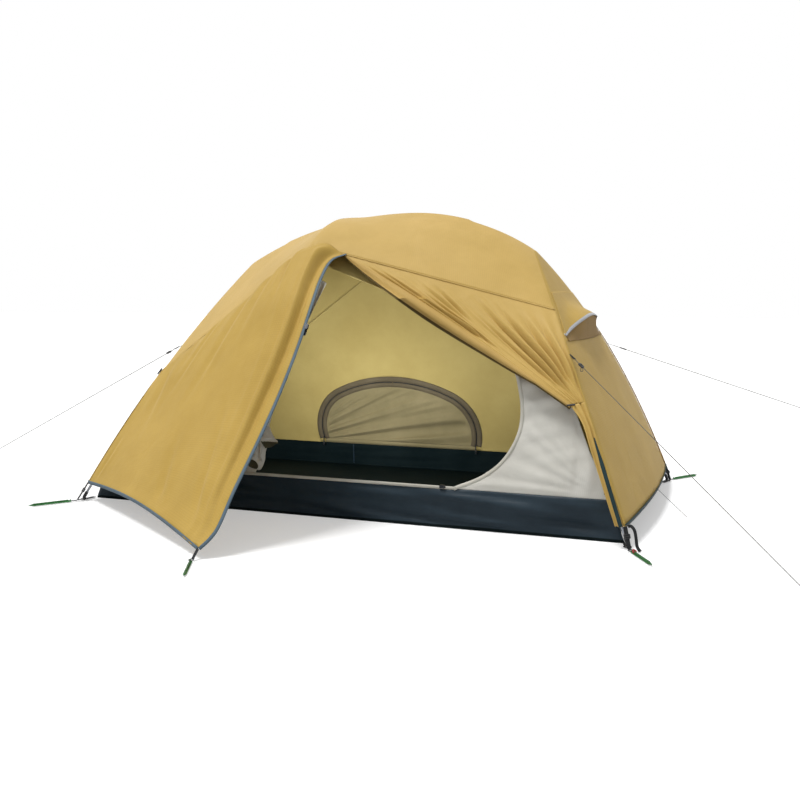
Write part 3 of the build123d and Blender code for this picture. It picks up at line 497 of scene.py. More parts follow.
finishes = {
    "fly": cloth("flyCloth", (0.52, 0.345, 0.090), (0.58, 0.388, 0.112), rough=0.55, sheen=0.12,
                 creases=0.35),
    # the left door's copy of the fly cloth is darker: painted shade
    "flyDoorShaded": cloth("flyDoorShadedCloth", (0.445, 0.289, 0.060), (0.50, 0.329, 0.074), creases=0.35),
    # the end panels' copy of the fly cloth is darker: painted shade
    "flyEndShaded": cloth("flyEndShadedCloth", (0.47, 0.31, 0.072), (0.52, 0.348, 0.088), creases=0.35),
    # the rolled edge's copy of the fly cloth is darker: painted shade among its folds
    "flyRollShaded": cloth("flyRollShadedCloth", (0.47, 0.305, 0.09), (0.53, 0.35, 0.11), rough=0.65),
    # brown for the sheet under the hood's lip: partly the vent's mesh, partly painted shade under the hood
    "ventShade": cloth("ventShadeCloth", (0.24, 0.145, 0.04), (0.29, 0.18, 0.055), rough=0.7),
    # dark brown for the rolled zip: partly the tape, partly painted shade under the roll
    "rolledTapeAndShade": cloth("rolledTapeAndShade", (0.085, 0.058, 0.018), (0.115, 0.078, 0.025), grid=0.003, rough=0.7),
    "innerShade": cloth("innerShadeCloth", (0.075, 0.070, 0.042), (0.10, 0.095, 0.06), rough=0.8, shine=0.05),
    # the inner cloth is white; its greyer base is partly painted shade under the porch
    "inner": cloth("innerCloth", (0.61, 0.596, 0.538), (0.695, 0.68, 0.622), grid=0.005, creases=0.4),
    # the olive is painted light and shade: the fly's yellow light coming through onto the inner cloth
    "innerFlyLightAndShade": cloth("innerFlyLightAndShadeCloth", (0.40, 0.315, 0.11), (0.455, 0.365, 0.135), rough=0.65, grid=0.005),
    "window": cloth("windowCloth", (0.212, 0.181, 0.093), (0.27, 0.23, 0.124), grid=0.005),
    "floor": cloth("floorCloth", (0.012, 0.024, 0.035), (0.019, 0.035, 0.049), rough=0.5, shine=0.22,
                   creases=0.5),
    # a darker copy of the floor cloth: painted shade inside the tent
    "floorShaded": cloth("floorShaded", (0.0045, 0.0095, 0.011), (0.008, 0.0145, 0.016), rough=0.7, sheen=0,
                         shine=0.06),
    "hemTape": cloth("hemTape", (0.085, 0.13, 0.165), (0.11, 0.16, 0.20), grid=0.003),
    "darkTape": cloth("darkTape", (0.012, 0.03, 0.033), (0.02, 0.045, 0.048), grid=0.003),
    "paleTape": cloth("paleTape", (0.52, 0.50, 0.43), (0.62, 0.60, 0.53), grid=0.003),
    "brownTape": cloth("brownTape", (0.095, 0.078, 0.048), (0.15, 0.125, 0.08), grid=0.003),
    "webbing": cloth("webbing", (0.012, 0.013, 0.014), (0.022, 0.023, 0.025), grid=0.0025, gridDepth=1.0,
                     bump=0.4, rough=0.7),
    "pole": hard("poleAlloy", (0.36, 0.38, 0.42), rough=0.3, metallic=1.0, speck=300.0, depth=0.05),
    "moulded": hard("mouldedPlastic", (0.02, 0.02, 0.022), rough=0.45),
    "coil": hard("zipCoil", (0.02, 0.022, 0.026), rough=0.35),
    "slider": hard("sliderPaint", (0.025, 0.026, 0.03), rough=0.3, metallic=0.4),
    "eyelet": hard("eyeletSteel", (0.5, 0.5, 0.48), rough=0.3, metallic=1.0),
    "pull": hard("pullCord", (0.32, 0.02, 0.035), rough=0.8, speck=900.0, depth=0.6),
    "stake": hard("stakePaint", (0.03, 0.17, 0.04), rough=0.35, metallic=0.5, wear=0.3),
    "line": hard("lineBraid", (0.10, 0.10, 0.09), rough=0.8, speck=900.0, depth=0.6),
    "greyEdge": hard("reflectiveEdge", (0.36, 0.37, 0.39), rough=0.35, metallic=0.2, speck=500.0),
}
print("materials made")

# lines and their tensioners

guy = {
    "loop": 0.0326, "stand": 0.0003, "radius": 0.0012, "eye": 0.009, "eyeLong": 1.35, "eyeWide": 0.8,
    "ends": {"frontRight": (1.624, -1.064, 0.009), "frontLeft": (-2.140, -0.030, 0.009),
             "rearRight": (1.632, 0.705, 0.326)},
    "hemStart": (1.0917, 0, 0.0822), "hemEnd": (1.208, -0.083, 0.0016), "hemThin": 0.8,
}


def guyStart(name):
    return off(legs[name](waistShare[name]), tent["flyStandOff"] + guy["stand"])


def tautLine(name, start, end, radius, shares, node):
    points = [mix(start, end, t) for t in shares]
    data = bpy.data.curves.new(name, "CURVE")
    data.dimensions = "3D"
    data.bevel_depth = radius
    data.bevel_resolution = 3
    data.use_fill_caps = True
    spline = data.splines.new("NURBS")
    spline.points.add(len(points) - 1)
    for point, place in zip(spline.points, points):
        point.co = (*place, 1)
    spline.order_u = 3
    spline.use_endpoint_u = True
    data.materials.append(finishes["line"])
    piece = placed(name, data)
    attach(piece, "shelter")
    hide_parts(node)


def lineEye(end, along):
    # the loop that a line ends in
    long, wide = guy["eye"] * guy["eyeLong"], guy["eye"] * guy["eyeWide"]
    centre, rise = end + along * long, Vector((0, 0, 1))
    across = (rise - along * rise.dot(along)).normalized()
    return tubePiece("lineEye", "line", "line",
                     lambda t: centre - along * cos(2 * pi * t) * long - across * sin(2 * pi * t) * wide,
                     guy["radius"], 48, 10)


for name, node, farEnd in (("frontRight", "guyline_front_right", "object"),
                           ("frontLeft", "guyline_front_left", "object"),
                           ("rearRight", "guyline_rear_right", "knot")):
    begin, finish = guyStart(name), Vector(guy["ends"][name])
    along = (finish - begin).normalized()
    if farEnd == "knot":
        lineEye(finish, along)
    tautLine(titled("line", name), begin + along * guy["loop"], finish, guy["radius"],
             (0, 0.02, 0.25, 0.5, 0.75, 0.98, 1), node)
tautLine("lineHem", off(Vector(guy["hemStart"]), guy["stand"]), Vector(guy["hemEnd"]),
         guy["radius"] * guy["hemThin"], (0, 0.05, 0.5, 0.95, 1), "hem_line")
print("lines made")

# the fly

fly = {"rowsUpper": 40, "rowsLower": 40, "cols": {"Left": 32, "Right": 56}, "colsEnd": 48,
       "thickness": 0.0008, "colWide": 0.013, "bumpWide": 0.055}


def onFly(line):
    # a line of the pole set moved out to where the fly lies
    return lambda t: off(line(t), tent["flyStandOff"])


def ridgeAt(x):
    hub = Vector(tent["headHub"] if x > apex.x else tent["footHub"])
    drop = apex.z - hub.z
    radius = ((hub.x - apex.x) ** 2 + drop ** 2) / (2 * drop)
    return Vector((x, 0, apex.z - radius + sqrt(radius ** 2 - (x - apex.x) ** 2)))


def flyRidge(startX, endX):
    # the fly's ridge, lifted where it passes over the cross pole
    def at(u):
        x = startX + (endX - startX) * u
        bump = tent["crossLift"] * bell(x, tent["crossX"], fly["bumpWide"])
        return onFly(ridgeAt)(x) + Vector((0, 0, bump))
    return at


def edgeShare(name, v):
    # rows above the seam are spread over the upper leg and rows below it over the lower leg
    split = fly["rowsUpper"] / (fly["rowsUpper"] + fly["rowsLower"])
    seam = seamShare[name]
    if v < split:
        return seam * v / split
    return seam + (hemShare[name] - seam) * (v - split) / (1 - split)


def flyLegPart(name, start, end):
    return onFly(part(legs[name], start, end))


def flyEdge(name):
    return onFly(lambda v: legs[name](edgeShare(name, v)))


eaves = {side: off(crossTips[side], tent["flyStandOff"]) for side in rows}
seamEnds = {name: onFly(legs[name])(seamShare[name]) for name in legNames}
seams = {name: straight(eaves[reach(name)[1]], seamEnds[name]) for name in legNames}
zipTop = seams["frontRight"](tent["zipShare"])


def hemOf(signX):
    front, rear = (flyEdge(row + halves[signX])(1) for row in rows.values())
    return lambda u: mix(front, rear, u) + Vector((signX * tent["hemBow"], 0, 0.010)) * sin(pi * u) ** 0.8


def endPanel(signX, legOf, low=None):
    # the surface between the two legs of one end, which meet at its hub
    front, rear = (legOf(row + halves[signX]) for row in rows.values())
    top = front(0)
    return coons(lambda u: top, low or straight(front(1), rear(1)), front, rear)


def endPlace(signX):
    return endPanel(signX, flyEdge, hemOf(signX))


def roofHalf(half, ridge, seam, leg, rib):
    # the roof from the cross pole to one hub, where ridge takes the x that it starts and ends at
    hubX = endValue(half, "Hub")[0]
    if half == "Left":
        return coons(ridge(hubX, tent["crossX"]), part(seam, 1, 0), leg, rib)
    return coons(ridge(tent["crossX"], hubX), seam, rib, leg)


def roofPlace(side, half):
    name = rows[side] + half
    rib = onFly(part(crossPole, 0.5, 0 if side < 0 else 1))
    return roofHalf(half, flyRidge, seams[name], flyLegPart(name, 0, seamShare[name]), rib)


def roofDepth(u, v, p):
    soft = edgeFade(v, 0.15) * edgeFade(u, 0.1)
    pull = 0.004 * noise.noise(Vector((p.x * 5, p.y * 5, p.z * 7)))
    # short level wrinkles under the ridge
    fine = 0.0024 * noise.noise(Vector((p.x * 6, p.y * 3, p.z * 60))) * bell(p.x, 0.12, 0.20)
    return soft * (pull - 0.004 * sag(u, v)) + fine * min(v / 0.08, 1) * max(0, 1 - v * 1.6)


def endDepth(u, v, p):
    soft = edgeFade(u, 0.15) * min(v / 0.2, 1)
    return soft * (0.003 * noise.noise(Vector((p.y * 6, p.z * 5, 3.1))) - 0.006 * sag(u, v))


def rearPlace(half):
    name = "rear" + half
    leg = flyLegPart(name, seamShare[name], hemShare[name])
    hem = straight(tent["rearApex"], leg(1))
    return coons(seams[name], lambda u: hem(u) + Vector((0, 0, 0.012)) * sin(pi * u),
                 straight(eaves[1], tent["rearApex"]), leg)


def flyCanopy():
    bm = bmesh.new()
    for side in rows:
        for half, cols in fly["cols"].items():
            addPatch(bm, creased(roofPlace(side, half), roofDepth), cols, fly["rowsUpper"],
                     (cols * fly["colWide"], 0.55))
    for signX in halves:
        made = addPatch(bm, creased(endPlace(signX), endDepth), fly["colsEnd"],
                        fly["rowsUpper"] + fly["rowsLower"], (0.9, 1.2))
        # the end panels take the fly cloth's darker copy: painted shade
        for face in {f for vert in made for f in vert.link_faces}:
            face.material_index = 1
    for half, cols in fly["cols"].items():
        addPatch(bm, creased(rearPlace(half), roofDepth), cols, fly["rowsLower"],
                 (cols * fly["colWide"], 0.6))
    closeUp(bm)
    ease(bm, 7, lambda p: p.x > 0.35 or p.x < -0.45)
    return bm


canopy = finishPiece(
    "flyCanopy", flyCanopy(), "fly", "fly", thickness=fly["thickness"], cut=(2.9, 2.9),
    rests=("poleRidge", "poleCross"),
    stands=("fly_roof_front", "fly_roof_rear", "fly_end_head", "fly_end_foot", "fly_rear_panels"))
# the second finish is the end panels' darker copy of the fly cloth: painted shade
canopy.data.materials.append(finishes["flyEndShaded"])
print("canopy made")

# The left porch door: its free edge bends in near the top and curls in again at the stake.
leftDoor = {
    "cols": 150, "rows": 130, "curl": 0.020,
    "strokes": (
        (0.80, -0.02, 0.80, 0.30, 0.013, 0.012, 0.15), (0.70, -0.02, 0.62, 0.42, 0.018, 0.007, 0.2),
        (0.60, -0.02, 0.44, 0.62, 0.020, 0.007, 0.3), (0.42, -0.02, 0.26, 0.5, 0.02, 0.006, 0.3),
        (0.10, 0.01, 0.24, 0.8, 0.025, 0.007, 0.3), (0.06, 0.55, 0.05, 0.99, 0.014, 0.007, 0.7),
        (0.50, 0.62, 0.62, 0.99, 0.022, 0.006, 0.8), (0.74, 0.55, 0.88, 0.99, 0.018, 0.007, 0.7),
    ),
}


def doorEdgePoints():
    sweep = arcThrough(tent["zipBend"], tent["zipWaist"], tent["zipFoot"])
    across = Vector((cos(view["turn"]), sin(view["turn"]), 0)) * leftDoor["curl"]
    curls = ((0.03, 0), (0.2, 0), (0.4, 0), (0.6, 0), (0.78, 0.2), (0.91, 0.9), (0.96, 0.75))
    bend = Vector(tent["zipBend"])
    first = mix(zipTop, bend, 0.22) + Vector((-0.030, -0.004, 0.012))
    second = mix(zipTop, bend, 0.6) + Vector((-0.022, -0.006, 0.006))
    return [zipTop, first, second, *[sweep(t) + across * share for t, share in curls], tent["zipFoot"]]


doorEdge = splineThrough(doorEdgePoints())


def leftDoorPlace():
    leg = flyLegPart("frontLeft", seamShare["frontLeft"], hemShare["frontLeft"])
    outer = seamEnds["frontLeft"]
    top = splineThrough([outer, mix(outer, eaves[-1], 0.5), eaves[-1], zipTop])
    hem = straight(leg(1), doorEdge(1))
    return coons(top, lambda u: hem(u) + Vector((0, 0, tent["hemRise"])) * sin(pi * u), leg, doorEdge)


leftPulls = pulls(leftDoor["strokes"])


def leftDoorDepth(u, v, p):
    wide = 0.75 + 0.3 * v
    away = (1 - u) * wide - (0.020 + 0.030 * min(v / 0.6, 1) - 0.026 * max(0, (v - 0.88) / 0.12))
    deep = min(v / 0.06, 1) * (1 - 0.7 * v ** 4)
    valley = -0.0135 * bell(away, 0, 0.011) * deep
    crest = 0.0145 * bell(away, 0.028, 0.016) * deep
    second = 0.004 * bell(away, 0.075, 0.02) * min(v / 0.2, 1)
    wave = crumple(u * 5, v * 1.5, 9.7) * 0.004
    fine = crumple(u * 13, v * 2.2, 4.7) * 0.0015 * (1 - v)
    soft = (wave + fine) * edgeFade(u, 0.08) * min((1 - v) / 0.06, 1)
    return valley + crest + second + leftPulls(u, v, wide) * edgeFade(u, 0.05) + soft


# the door takes the darker copy of the fly cloth: painted shade
patchPiece("flyDoorLeft", "flyDoorShaded", "fly", creased(leftDoorPlace(), leftDoorDepth), leftDoor["cols"],
           leftDoor["rows"], (0.9, 0.8), stands=("fly_door_foot",), thickness=fly["thickness"],
           cut=(1.10, 1.15), held="hung", rests=("flyCanopy",))

# The right porch door is drawn back to its toggle, so that its folds run from the seam to the tie.
rightDoor = {
    "cols": 240, "rows": 110, "sag": 0.012, "tieShift": (-0.046, -0.022, -0.010),
    "strokes": (
        (0.04, 0.03, 0.045, 0.46, 0.010, 0.014, 0.6), (0.05, 0.10, 0.132, 0.58, 0.014, 0.024, 0.82),
        (0.10, 0.05, 0.10, 0.40, 0.011, 0.010, 0.5), (0.22, 0.12, 0.183, 0.66, 0.012, 0.013, 0.7),
        (0.30, 0.04, 0.25, 0.45, 0.013, 0.007, 0.5), (0.397, 0.05, 0.29, 0.48, 0.013, 0.009, 0.5),
        (0.47, 0.20, 0.42, 0.95, 0.014, 0.010, 0.7), (0.58, 0.08, 0.55, 0.99, 0.016, 0.024, 0.62),
        (0.694, 0.08, 0.68, 0.99, 0.016, 0.026, 0.6), (0.80, 0.10, 0.80, 0.99, 0.015, 0.017, 0.55),
        (0.888, 0.10, 0.88, 0.98, 0.014, 0.017, 0.6), (0.96, 0.35, 0.96, 0.98, 0.012, 0.015, 0.6),
    ),
}
tiePoint = onFly(legs["frontRight"])(tent["tie"]) + Vector(rightDoor["tieShift"])
rollEdge = splineThrough([zipTop, mix(zipTop, tiePoint, 0.33) + Vector((0, -0.004, 0.008)),
                          mix(zipTop, tiePoint, 0.66) + Vector((0, -0.004, 0.006)), tiePoint])


def rightDoorPlace():
    leg = flyLegPart("frontRight", seamShare["frontRight"], tent["tie"])
    return coons(part(seams["frontRight"], tent["zipShare"], 1), straight(tiePoint, leg(1)), rollEdge, leg)


rightPulls = pulls(rightDoor["strokes"])


def rightDoorDepth(u, v, p):
    wide = mix(0.83, 0.05, v)
    folds = rightPulls(u, v, wide, 0.3 + 0.7 * (1 - v))
    small = crumple(u * 22 + v, v * 0.8, 5.1) * 0.0022 * min(v / 0.2, 1)
    return (folds + small) * edgeFade(u, 0.02) - rightDoor["sag"] * sag(u, v)


patchPiece("flyDoorRight", "fly", "fly", creased(rightDoorPlace(), rightDoorDepth), rightDoor["cols"],
           rightDoor["rows"], (0.75, 0.6), stands=("fly_door_head",), thickness=fly["thickness"],
           cut=(0.84, 0.50), held="gathered", rests=("tie_toggle_head",))

# the rolled lower edge, slack in its middle and drawn tight at both ends
roll = {"radius": 0.022, "steps": 130, "sides": 56, "drop": 0.017}


def rollSize(u):
    return 0.16 + 0.84 * sin(pi * min(u / 0.86, 1) ** 0.8) ** 0.8 + 0.28 * max(0, u - 0.5)


def rollShape(u, angle):
    fold = crumple(cos(angle) * 1.3, sin(angle) * 1.3 + u * 2.2, 7.7)
    flute = 1 + 0.10 * fold + 0.05 * sin(3 * angle + 7 * u)
    return rollSize(u) * (0.78 + 0.30 * abs(sin(angle + 0.9))) * flute


def rollLine(u):
    return rollEdge(u) + Vector((0.0, 0.004, -roll["drop"] * rollSize(u)))


# the roll is darker than the fly: painted shade
tubePiece("flyDoorRoll", "flyRollShaded", "fly", rollLine, roll["radius"], roll["steps"], roll["sides"], rollShape)
# the door's zip runs along the underside of the roll; the dark brown strip is partly the zip's tape and
# partly painted shade under the roll, most where it widens in the middle
ribbon("rolledZipAndShade", "rolledTapeAndShade", "fly_zip",
       lambda u: rollLine(u) + Vector((0, -0.009, -0.018)) * rollSize(u), 0.016, 0.002, 130,
       facing=(0.1, -1, -0.45), taper=lambda u: 0.3 + 0.35 * min(u / 0.2, 1) + 0.95 * bell(u, 0.40, 0.2))


def foldsPlace():
    leg = flyLegPart("frontRight", tent["tie"], hemShare["frontRight"])
    beside = [leg(t) + Vector((-0.030, -0.016, 0)) for t in (0.18, 0.4, 0.7, 0.9, 1)]
    edge = splineThrough([tiePoint, *beside])
    return coons(straight(tiePoint, leg(0)), straight(edge(1), leg(1)), edge, leg)


def foldsDepth(u, v, p):
    spread = 0.35 + 0.65 * v
    return (0.010 * sin(u * 17 + 2 * v) * spread + 0.004 * crumple(u * 6, v * 3, 2.2)) * edgeFade(u, 0.12) * (
        1 - 0.5 * v)


foldsSurface = foldsPlace()
patchPiece("flyDoorFolds", "fly", "fly", creased(foldsSurface, foldsDepth), 70, 70, (0.2, 0.5),
           stands=("fly_door_folds",), thickness=fly["thickness"], cut=(0.10, 0.52), held="gathered",
           rests=("tie_toggle_head",))
ribbon("foldsZip", "darkTape", "fly_zip",
       lambda t: foldsSurface(0.72 - 0.18 * t, 0.30 + 0.70 * t) + Vector((0.002, -0.007, 0)), 0.013, 0.0022,
       70, facing=(0.5, -1, 0.2), taper=lambda t: 0.2 + 0.8 * min(t / 0.3, 1))
print("doors made")

# tapes and seams of the fly

tape = {"hem": 0.014, "hemThick": 0.0024, "zip": 0.011, "zipThick": 0.0022, "seam": 0.010,
        "seamThick": 0.0006}


def lowEdge(place):
    return lambda u: place(u, 1)


for name, finish, line, steps in (("LeftDoor", "hemTape", lowEdge(leftDoorPlace()), 90),
                                  ("HeadEnd", "darkTape", hemOf(1), 80),
                                  ("FootEnd", "hemTape", hemOf(-1), 80),
                                  ("RearLeft", "hemTape", lowEdge(rearPlace("Left")), 60),
                                  ("RearRight", "hemTape", lowEdge(rearPlace("Right")), 60)):
    ribbon("hem" + name, finish, "fly_zip", line, tape["hem"], tape["hemThick"], steps)
ribbon("zipTapeDoor", "hemTape", "fly_zip", lambda u: doorEdge(u) + Vector((0.005, 0, 0)), tape["zip"],
       tape["zipThick"], 120, stands=("fly_door_zip",))
for name in legNames:
    ribbon(titled("seam", name), "fly", "fly", seams[name], tape["seam"], tape["seamThick"], rise=0.0007)
    # the seams down the legs take the end panels' darker copy: painted shade
    ribbon(titled("legSeam", name), "flyEndShaded", "fly", part(flyEdge(name), 0.55, 1), tape["seam"],
           tape["seamThick"], 70, rise=0.0010, taper=lambda u: min(u / 0.1, 1))
print("tapes made")

# inner tent and floor

floor = {"length": 2.1, "width": 1.1, "front": 0.140, "rear": 0.100, "leanEnd": 0.050, "leanSide": 0.008,
         "drawIn": 0.058}
inner = {"cols": 30, "rows": 24, "thickness": 0.0006, "stand": 0.0003,
         "eaveDrop": 0.006}


def wallPoint(signX, signY):
    tall = floor["front"] if signY < 0 else floor["rear"]
    lean = tall / floor["front"]
    return Vector((signX * (floor["length"] / 2 - floor["leanEnd"] * lean),
                   signY * (floor["width"] / 2 - floor["leanSide"] * lean), tall))


def sink(p):
    return off(p, -tent["innerHang"])


innerEaves = {side: sink(crossTips[side]) - Vector((0, 0, inner["eaveDrop"])) for side in rows}
innerSeam = {name: endValue(name, "InnerSeam") for name in legNames}


def innerLeg(name, start, end):
    # the leg's line at the inner tent, drawn to the corner of the floor at its foot
    base = part(legs[name], start, end)
    corner = wallPoint(*reach(name)) + Vector((0, 0, inner["stand"]))
    shift = corner - sink(legs[name](1))
    return lambda t: sink(base(t)) + shift * max(0, (start + (end - start) * t - 0.75) / 0.25)


def innerRidge(startX, endX):
    return lambda u: sink(ridgeAt(startX + (endX - startX) * u))


def innerRib(side):
    rib = part(crossPole, 0.5, 0.02 if side < 0 else 0.98)
    drop = sink(ridgeAt(tent["crossX"])) - sink(rib(0))
    last = innerEaves[side] - sink(rib(1))
    return lambda t: sink(rib(t)) + drop * (1 - t) + last * t


def innerRoofPlace(side, half):
    name = rows[side] + half
    leg = innerLeg(name, 0, innerSeam[name])
    return roofHalf(half, innerRidge, straight(innerEaves[side], leg(1)), leg, innerRib(side))


def billow(depth, seed):
    return lambda u, v, p: depth * edgeFade(u, 0.2) * edgeFade(v, 0.2) * (
        crumple(p.x * 5 + p.y * 5, p.z * 6, seed) * 0.5 - sag(u, v))


def innerCanopy():
    bm = bmesh.new()
    for side in rows:
        for half in halves.values():
            addPatch(bm, creased(innerRoofPlace(side, half), billow(0.006, 2.5)), inner["cols"],
                     inner["rows"], (0.6, 0.5))
    for signX in halves:
        place = endPanel(signX, lambda name: innerLeg(name, 0, 1))
        addPatch(bm, creased(place, billow(0.008, 6.5)), inner["cols"], 2 * inner["rows"], (0.8, 1.1))
    closeUp(bm)
    ease(bm, 8)
    return bm


# the inner canopy takes the olive of painted light and shade under the fly
finishPiece("innerCanopy", innerCanopy(), "innerFlyLightAndShade", "inner", thickness=inner["thickness"],
            cut=(2.5, 2.3), held="hung", rests=("inner_clips", "poleRidge"),
            stands=("inner_roof_front", "inner_roof_rear", "inner_end_head", "inner_end_foot"))

# the front wall right of the D-shaped doorway
doorway = {"sweep": ((0.433, 0), (0.53, 0.058), (0.602, 0.142), (0.645, 0.27), (0.637, 0.42),
                     (0.585, 0.565), (0.41, 0.722), (0.165, 0.842)),
           "left": -0.330, "shown": 0.62, "seamFrom": 0.42, "roofTone": 0.70}
sill = floor["front"] + inner["stand"]
frontLow = wallPoint(1, -1)


def frontPoint(x, share):
    high = innerEaves[-1]
    return Vector((x, frontLow.y + (high.y - frontLow.y) * share, sill + (high.z - sill) * share))


doorCurve = splineThrough([frontPoint(x * floor["length"] / 2, share) for x, share in doorway["sweep"]]
                          + [innerEaves[-1]])


def frontRightPlace():
    leg = innerLeg("frontRight", 1, innerSeam["frontRight"])
    seam = straight(leg(1), innerEaves[-1])
    turn = doorway["seamFrom"]

    def outer(u):
        return leg(u / turn) if u < turn else seam((u - turn) / (1 - turn))
    return lambda u, v: mix(outer(u), doorCurve(u), v)


def frontRightDepth(u, v, p):
    corner = Vector((p.x - 0.98, p.z - 0.15))
    angle = atan2(corner.y, -corner.x)
    fan = crumple(angle * 9, corner.length * 1.5, 3.3) * 0.006 * min(corner.length / 0.25, 1)
    # pulled towards the tie, and upright folds by the corner
    tight = crumple(p.x * 6 - p.z * 20, p.x * 2 + p.z, 8.1) * 0.008 * clamp((p.z - 0.22) / 0.12)
    low = clamp((p.x - 0.80) / 0.08) * clamp((0.42 - p.z) / 0.2)
    upright = crumple(p.x * 32, p.z * 3, 5.7) * 0.007 * low
    return (fan + tight + upright) * edgeFade(v, 0.12) * edgeFade(u, 0.04)


frontRight = patchPiece(
    "innerFrontRight", "inner", "inner", creased(frontRightPlace(), frontRightDepth), 150, 60, (1.6, 0.4),
    stands=("inner_front_head",), thickness=inner["thickness"], cut=(0.88, 0.46), held="hung",
    rests=("floorCloth", "innerCanopy"))
# above roofTone the panel takes the same olive: painted light and shade under the fly
twoTone(frontRight, "innerFlyLightAndShade", lambda face: face.center.z > doorway["roofTone"])


def frontLeftPlace():
    leg = innerLeg("frontLeft", 1, innerSeam["frontLeft"])
    jamb = straight(frontPoint(doorway["left"], 0), innerEaves[-1])
    return lambda u, v: mix(leg(u), jamb(u), v)


patchPiece("innerFrontLeft", "inner", "inner", creased(frontLeftPlace(), billow(0.008, 1.1)), 60, 40,
           (1.0, 0.6), stands=("inner_front_foot",), thickness=inner["thickness"], cut=(0.85, 0.90),
           held="hung", rests=("floorCloth", "innerCanopy"))
print("inner front made")

# the rear wall lies in one leaning plane
rearLow = wallPoint(1, 1) + Vector((0, 0, inner["stand"]))
rearUp = innerEaves[1] - Vector((innerEaves[1].x, rearLow.y, rearLow.z))
rearTall = rearUp.length
rearUp.normalize()
rearOut = rearUp.cross(Vector((1, 0, 0)))
window = {"x": -0.16275, "base": 0.020, "corner": 0.2016, "cornerX": 0.18585, "cornerY": 0.075,
          "crown": 0.6198, "crownDepth": 0.3747, "turn": radians(63.62), "side": 0.02, "coil": 0.0020,
          "coilIn": 0.0030, "pullIn": 0.008}
wall = {"left": -0.8505, "right": 0.59955}
archFoot = window["cornerX"] + window["corner"] + window["side"]


def onRear(x, y):
    return Vector((x, rearLow.y, rearLow.z)) + rearUp * y


rearTop = onRear(innerEaves[1].x, rearTall)
footLeft, footRight = onRear(window["x"] - archFoot, 0), onRear(window["x"] + archFoot, 0)


def archLine(grow):
    # over the hatch from its left foot to its right one: a round corner, a flatter crown, a round corner
    corner, crown = window["corner"] + grow, window["crown"] + grow
    rise = window["cornerY"] - window["base"]
    foot = atan2(rise, sqrt(corner ** 2 - rise ** 2))
    side = corner * (window["turn"] + foot)
    top = crown * (pi / 2 - window["turn"])
    total = 2 * (side + top)

    def at(t):
        way = t * total
        mirror = -1 if way < total / 2 else 1
        way = min(way, total - way)
        if way < side:
            angle = way / corner - foot
            x, y = window["cornerX"] + corner * cos(angle), window["cornerY"] + corner * sin(angle)
        else:
            angle = window["turn"] + (way - side) / crown
            x, y = crown * cos(angle), window["cornerY"] - window["crownDepth"] + crown * sin(angle)
        return onRear(window["x"] + mirror * x, y)
    return at


def rearOuter(t):
    # the wall's outline, met by lines that fan out from the arch
    left, right = onRear(wall["left"], 0), onRear(wall["right"], 0)
    if t < 0.1:
        return mix(footLeft, left, t / 0.1)
    if t < 0.5:
        return mix(left, rearTop, (t - 0.1) / 0.4)
    if t < 0.9:
        return mix(rearTop, right, (t - 0.5) / 0.4)
    return mix(right, footRight, (t - 0.9) / 0.1)


def rearWallDepth(u, v, p):
    return 0.0025 * crumple(p.x * 4, p.z * 5, 5.5) * edgeFade(v, 0.15) + 0.004 * edgeFade(v, 0.4)


def between(first, last):
    # the surface that lies straight from one line to another
    return lambda u, v: mix(first(u), last(u), v)


def rearWall():
    bm = bmesh.new()
    arch = archLine(0.025)
    addPatch(bm, creased(between(rearOuter, arch), rearWallDepth), 120, 40, (2.0, 0.7))
    addPatch(bm, between(straight(footLeft, footRight), straight(arch(0), arch(1))), 60, 2, (0.8, 0.02))
    for half in ("Right", "Left"):
        leg = innerLeg("rear" + half, 1, innerSeam["rear" + half])
        edge = straight(onRear(wall[half.lower()], 0), rearTop)
        addPatch(bm, between(leg, edge), 48, 20, (1.0, 0.4))
    closeUp(bm, 0.0008)
    ease(bm, 16)
    return bm


# the rear wall takes the olive of painted light and shade under the fly
rearCloth = finishPiece(
    "innerRearWall", rearWall(), "innerFlyLightAndShade", "back_wall", thickness=inner["thickness"],
    stands=("inner_rear_panel", "inner_rear_wings"), cut=(2.1, 1.0), held="hung",
    rests=("floorCloth", "innerCanopy"))
# the strip under the hatch is its own darker cloth
twoTone(rearCloth, "window", lambda face: face.center.z < rearLow.z + 0.021 and abs(
    face.center.x - window["x"]) < archFoot - 0.03)
windowArch = archLine(-0.003)
windowBase = straight(windowArch(0), windowArch(1))


def windowDepth(u, v, p):
    # the folds fan out from the hatch's left foot
    run, rise = p.x - window["x"] + 0.62, p.z - rearLow.z + 0.03
    angle = atan2(rise, run)
    fan = crumple(angle * 17, run * 1.1, 6.1, 0.8) * 0.011 + crumple(angle * 38, run * 2.5, 2.1) * 0.005
    tall = (windowArch(u) - windowBase(u)).length
    return fan * easeIn((tall * v - 0.022) / 0.05) * easeIn((1 - v) * tall / 0.025)


patchPiece("windowCloth", "window", "window", creased(between(windowArch, windowBase), windowDepth), 110, 50,
           (0.8, 0.3), stands=("window_panel",), thickness=inner["thickness"], cut=(0.80, 0.31), held="hung",
           rests=("innerRearWall",))
zipTape = {"outer": 0.0135, "outerWide": 0.027, "inner": -0.0125, "innerWide": 0.022, "thick": 0.0014}
ribbon("windowZipTape", "brownTape", "window_zip", archLine(zipTape["outer"]), zipTape["outerWide"],
       zipTape["thick"], 140, rise=0.0012, facing=-rearOut, stands=("window_zip",))
ribbon("windowZipTapeInner", "brownTape", "window_zip", archLine(zipTape["inner"]), zipTape["innerWide"],
       zipTape["thick"], 140, rise=0.0022, facing=-rearOut)
coilLine = archLine(0)
tubePiece("windowCoil", "coil", "window_zip", lambda u: coilLine(u) - rearOut * window["coilIn"],
          window["coil"], 180, 8)

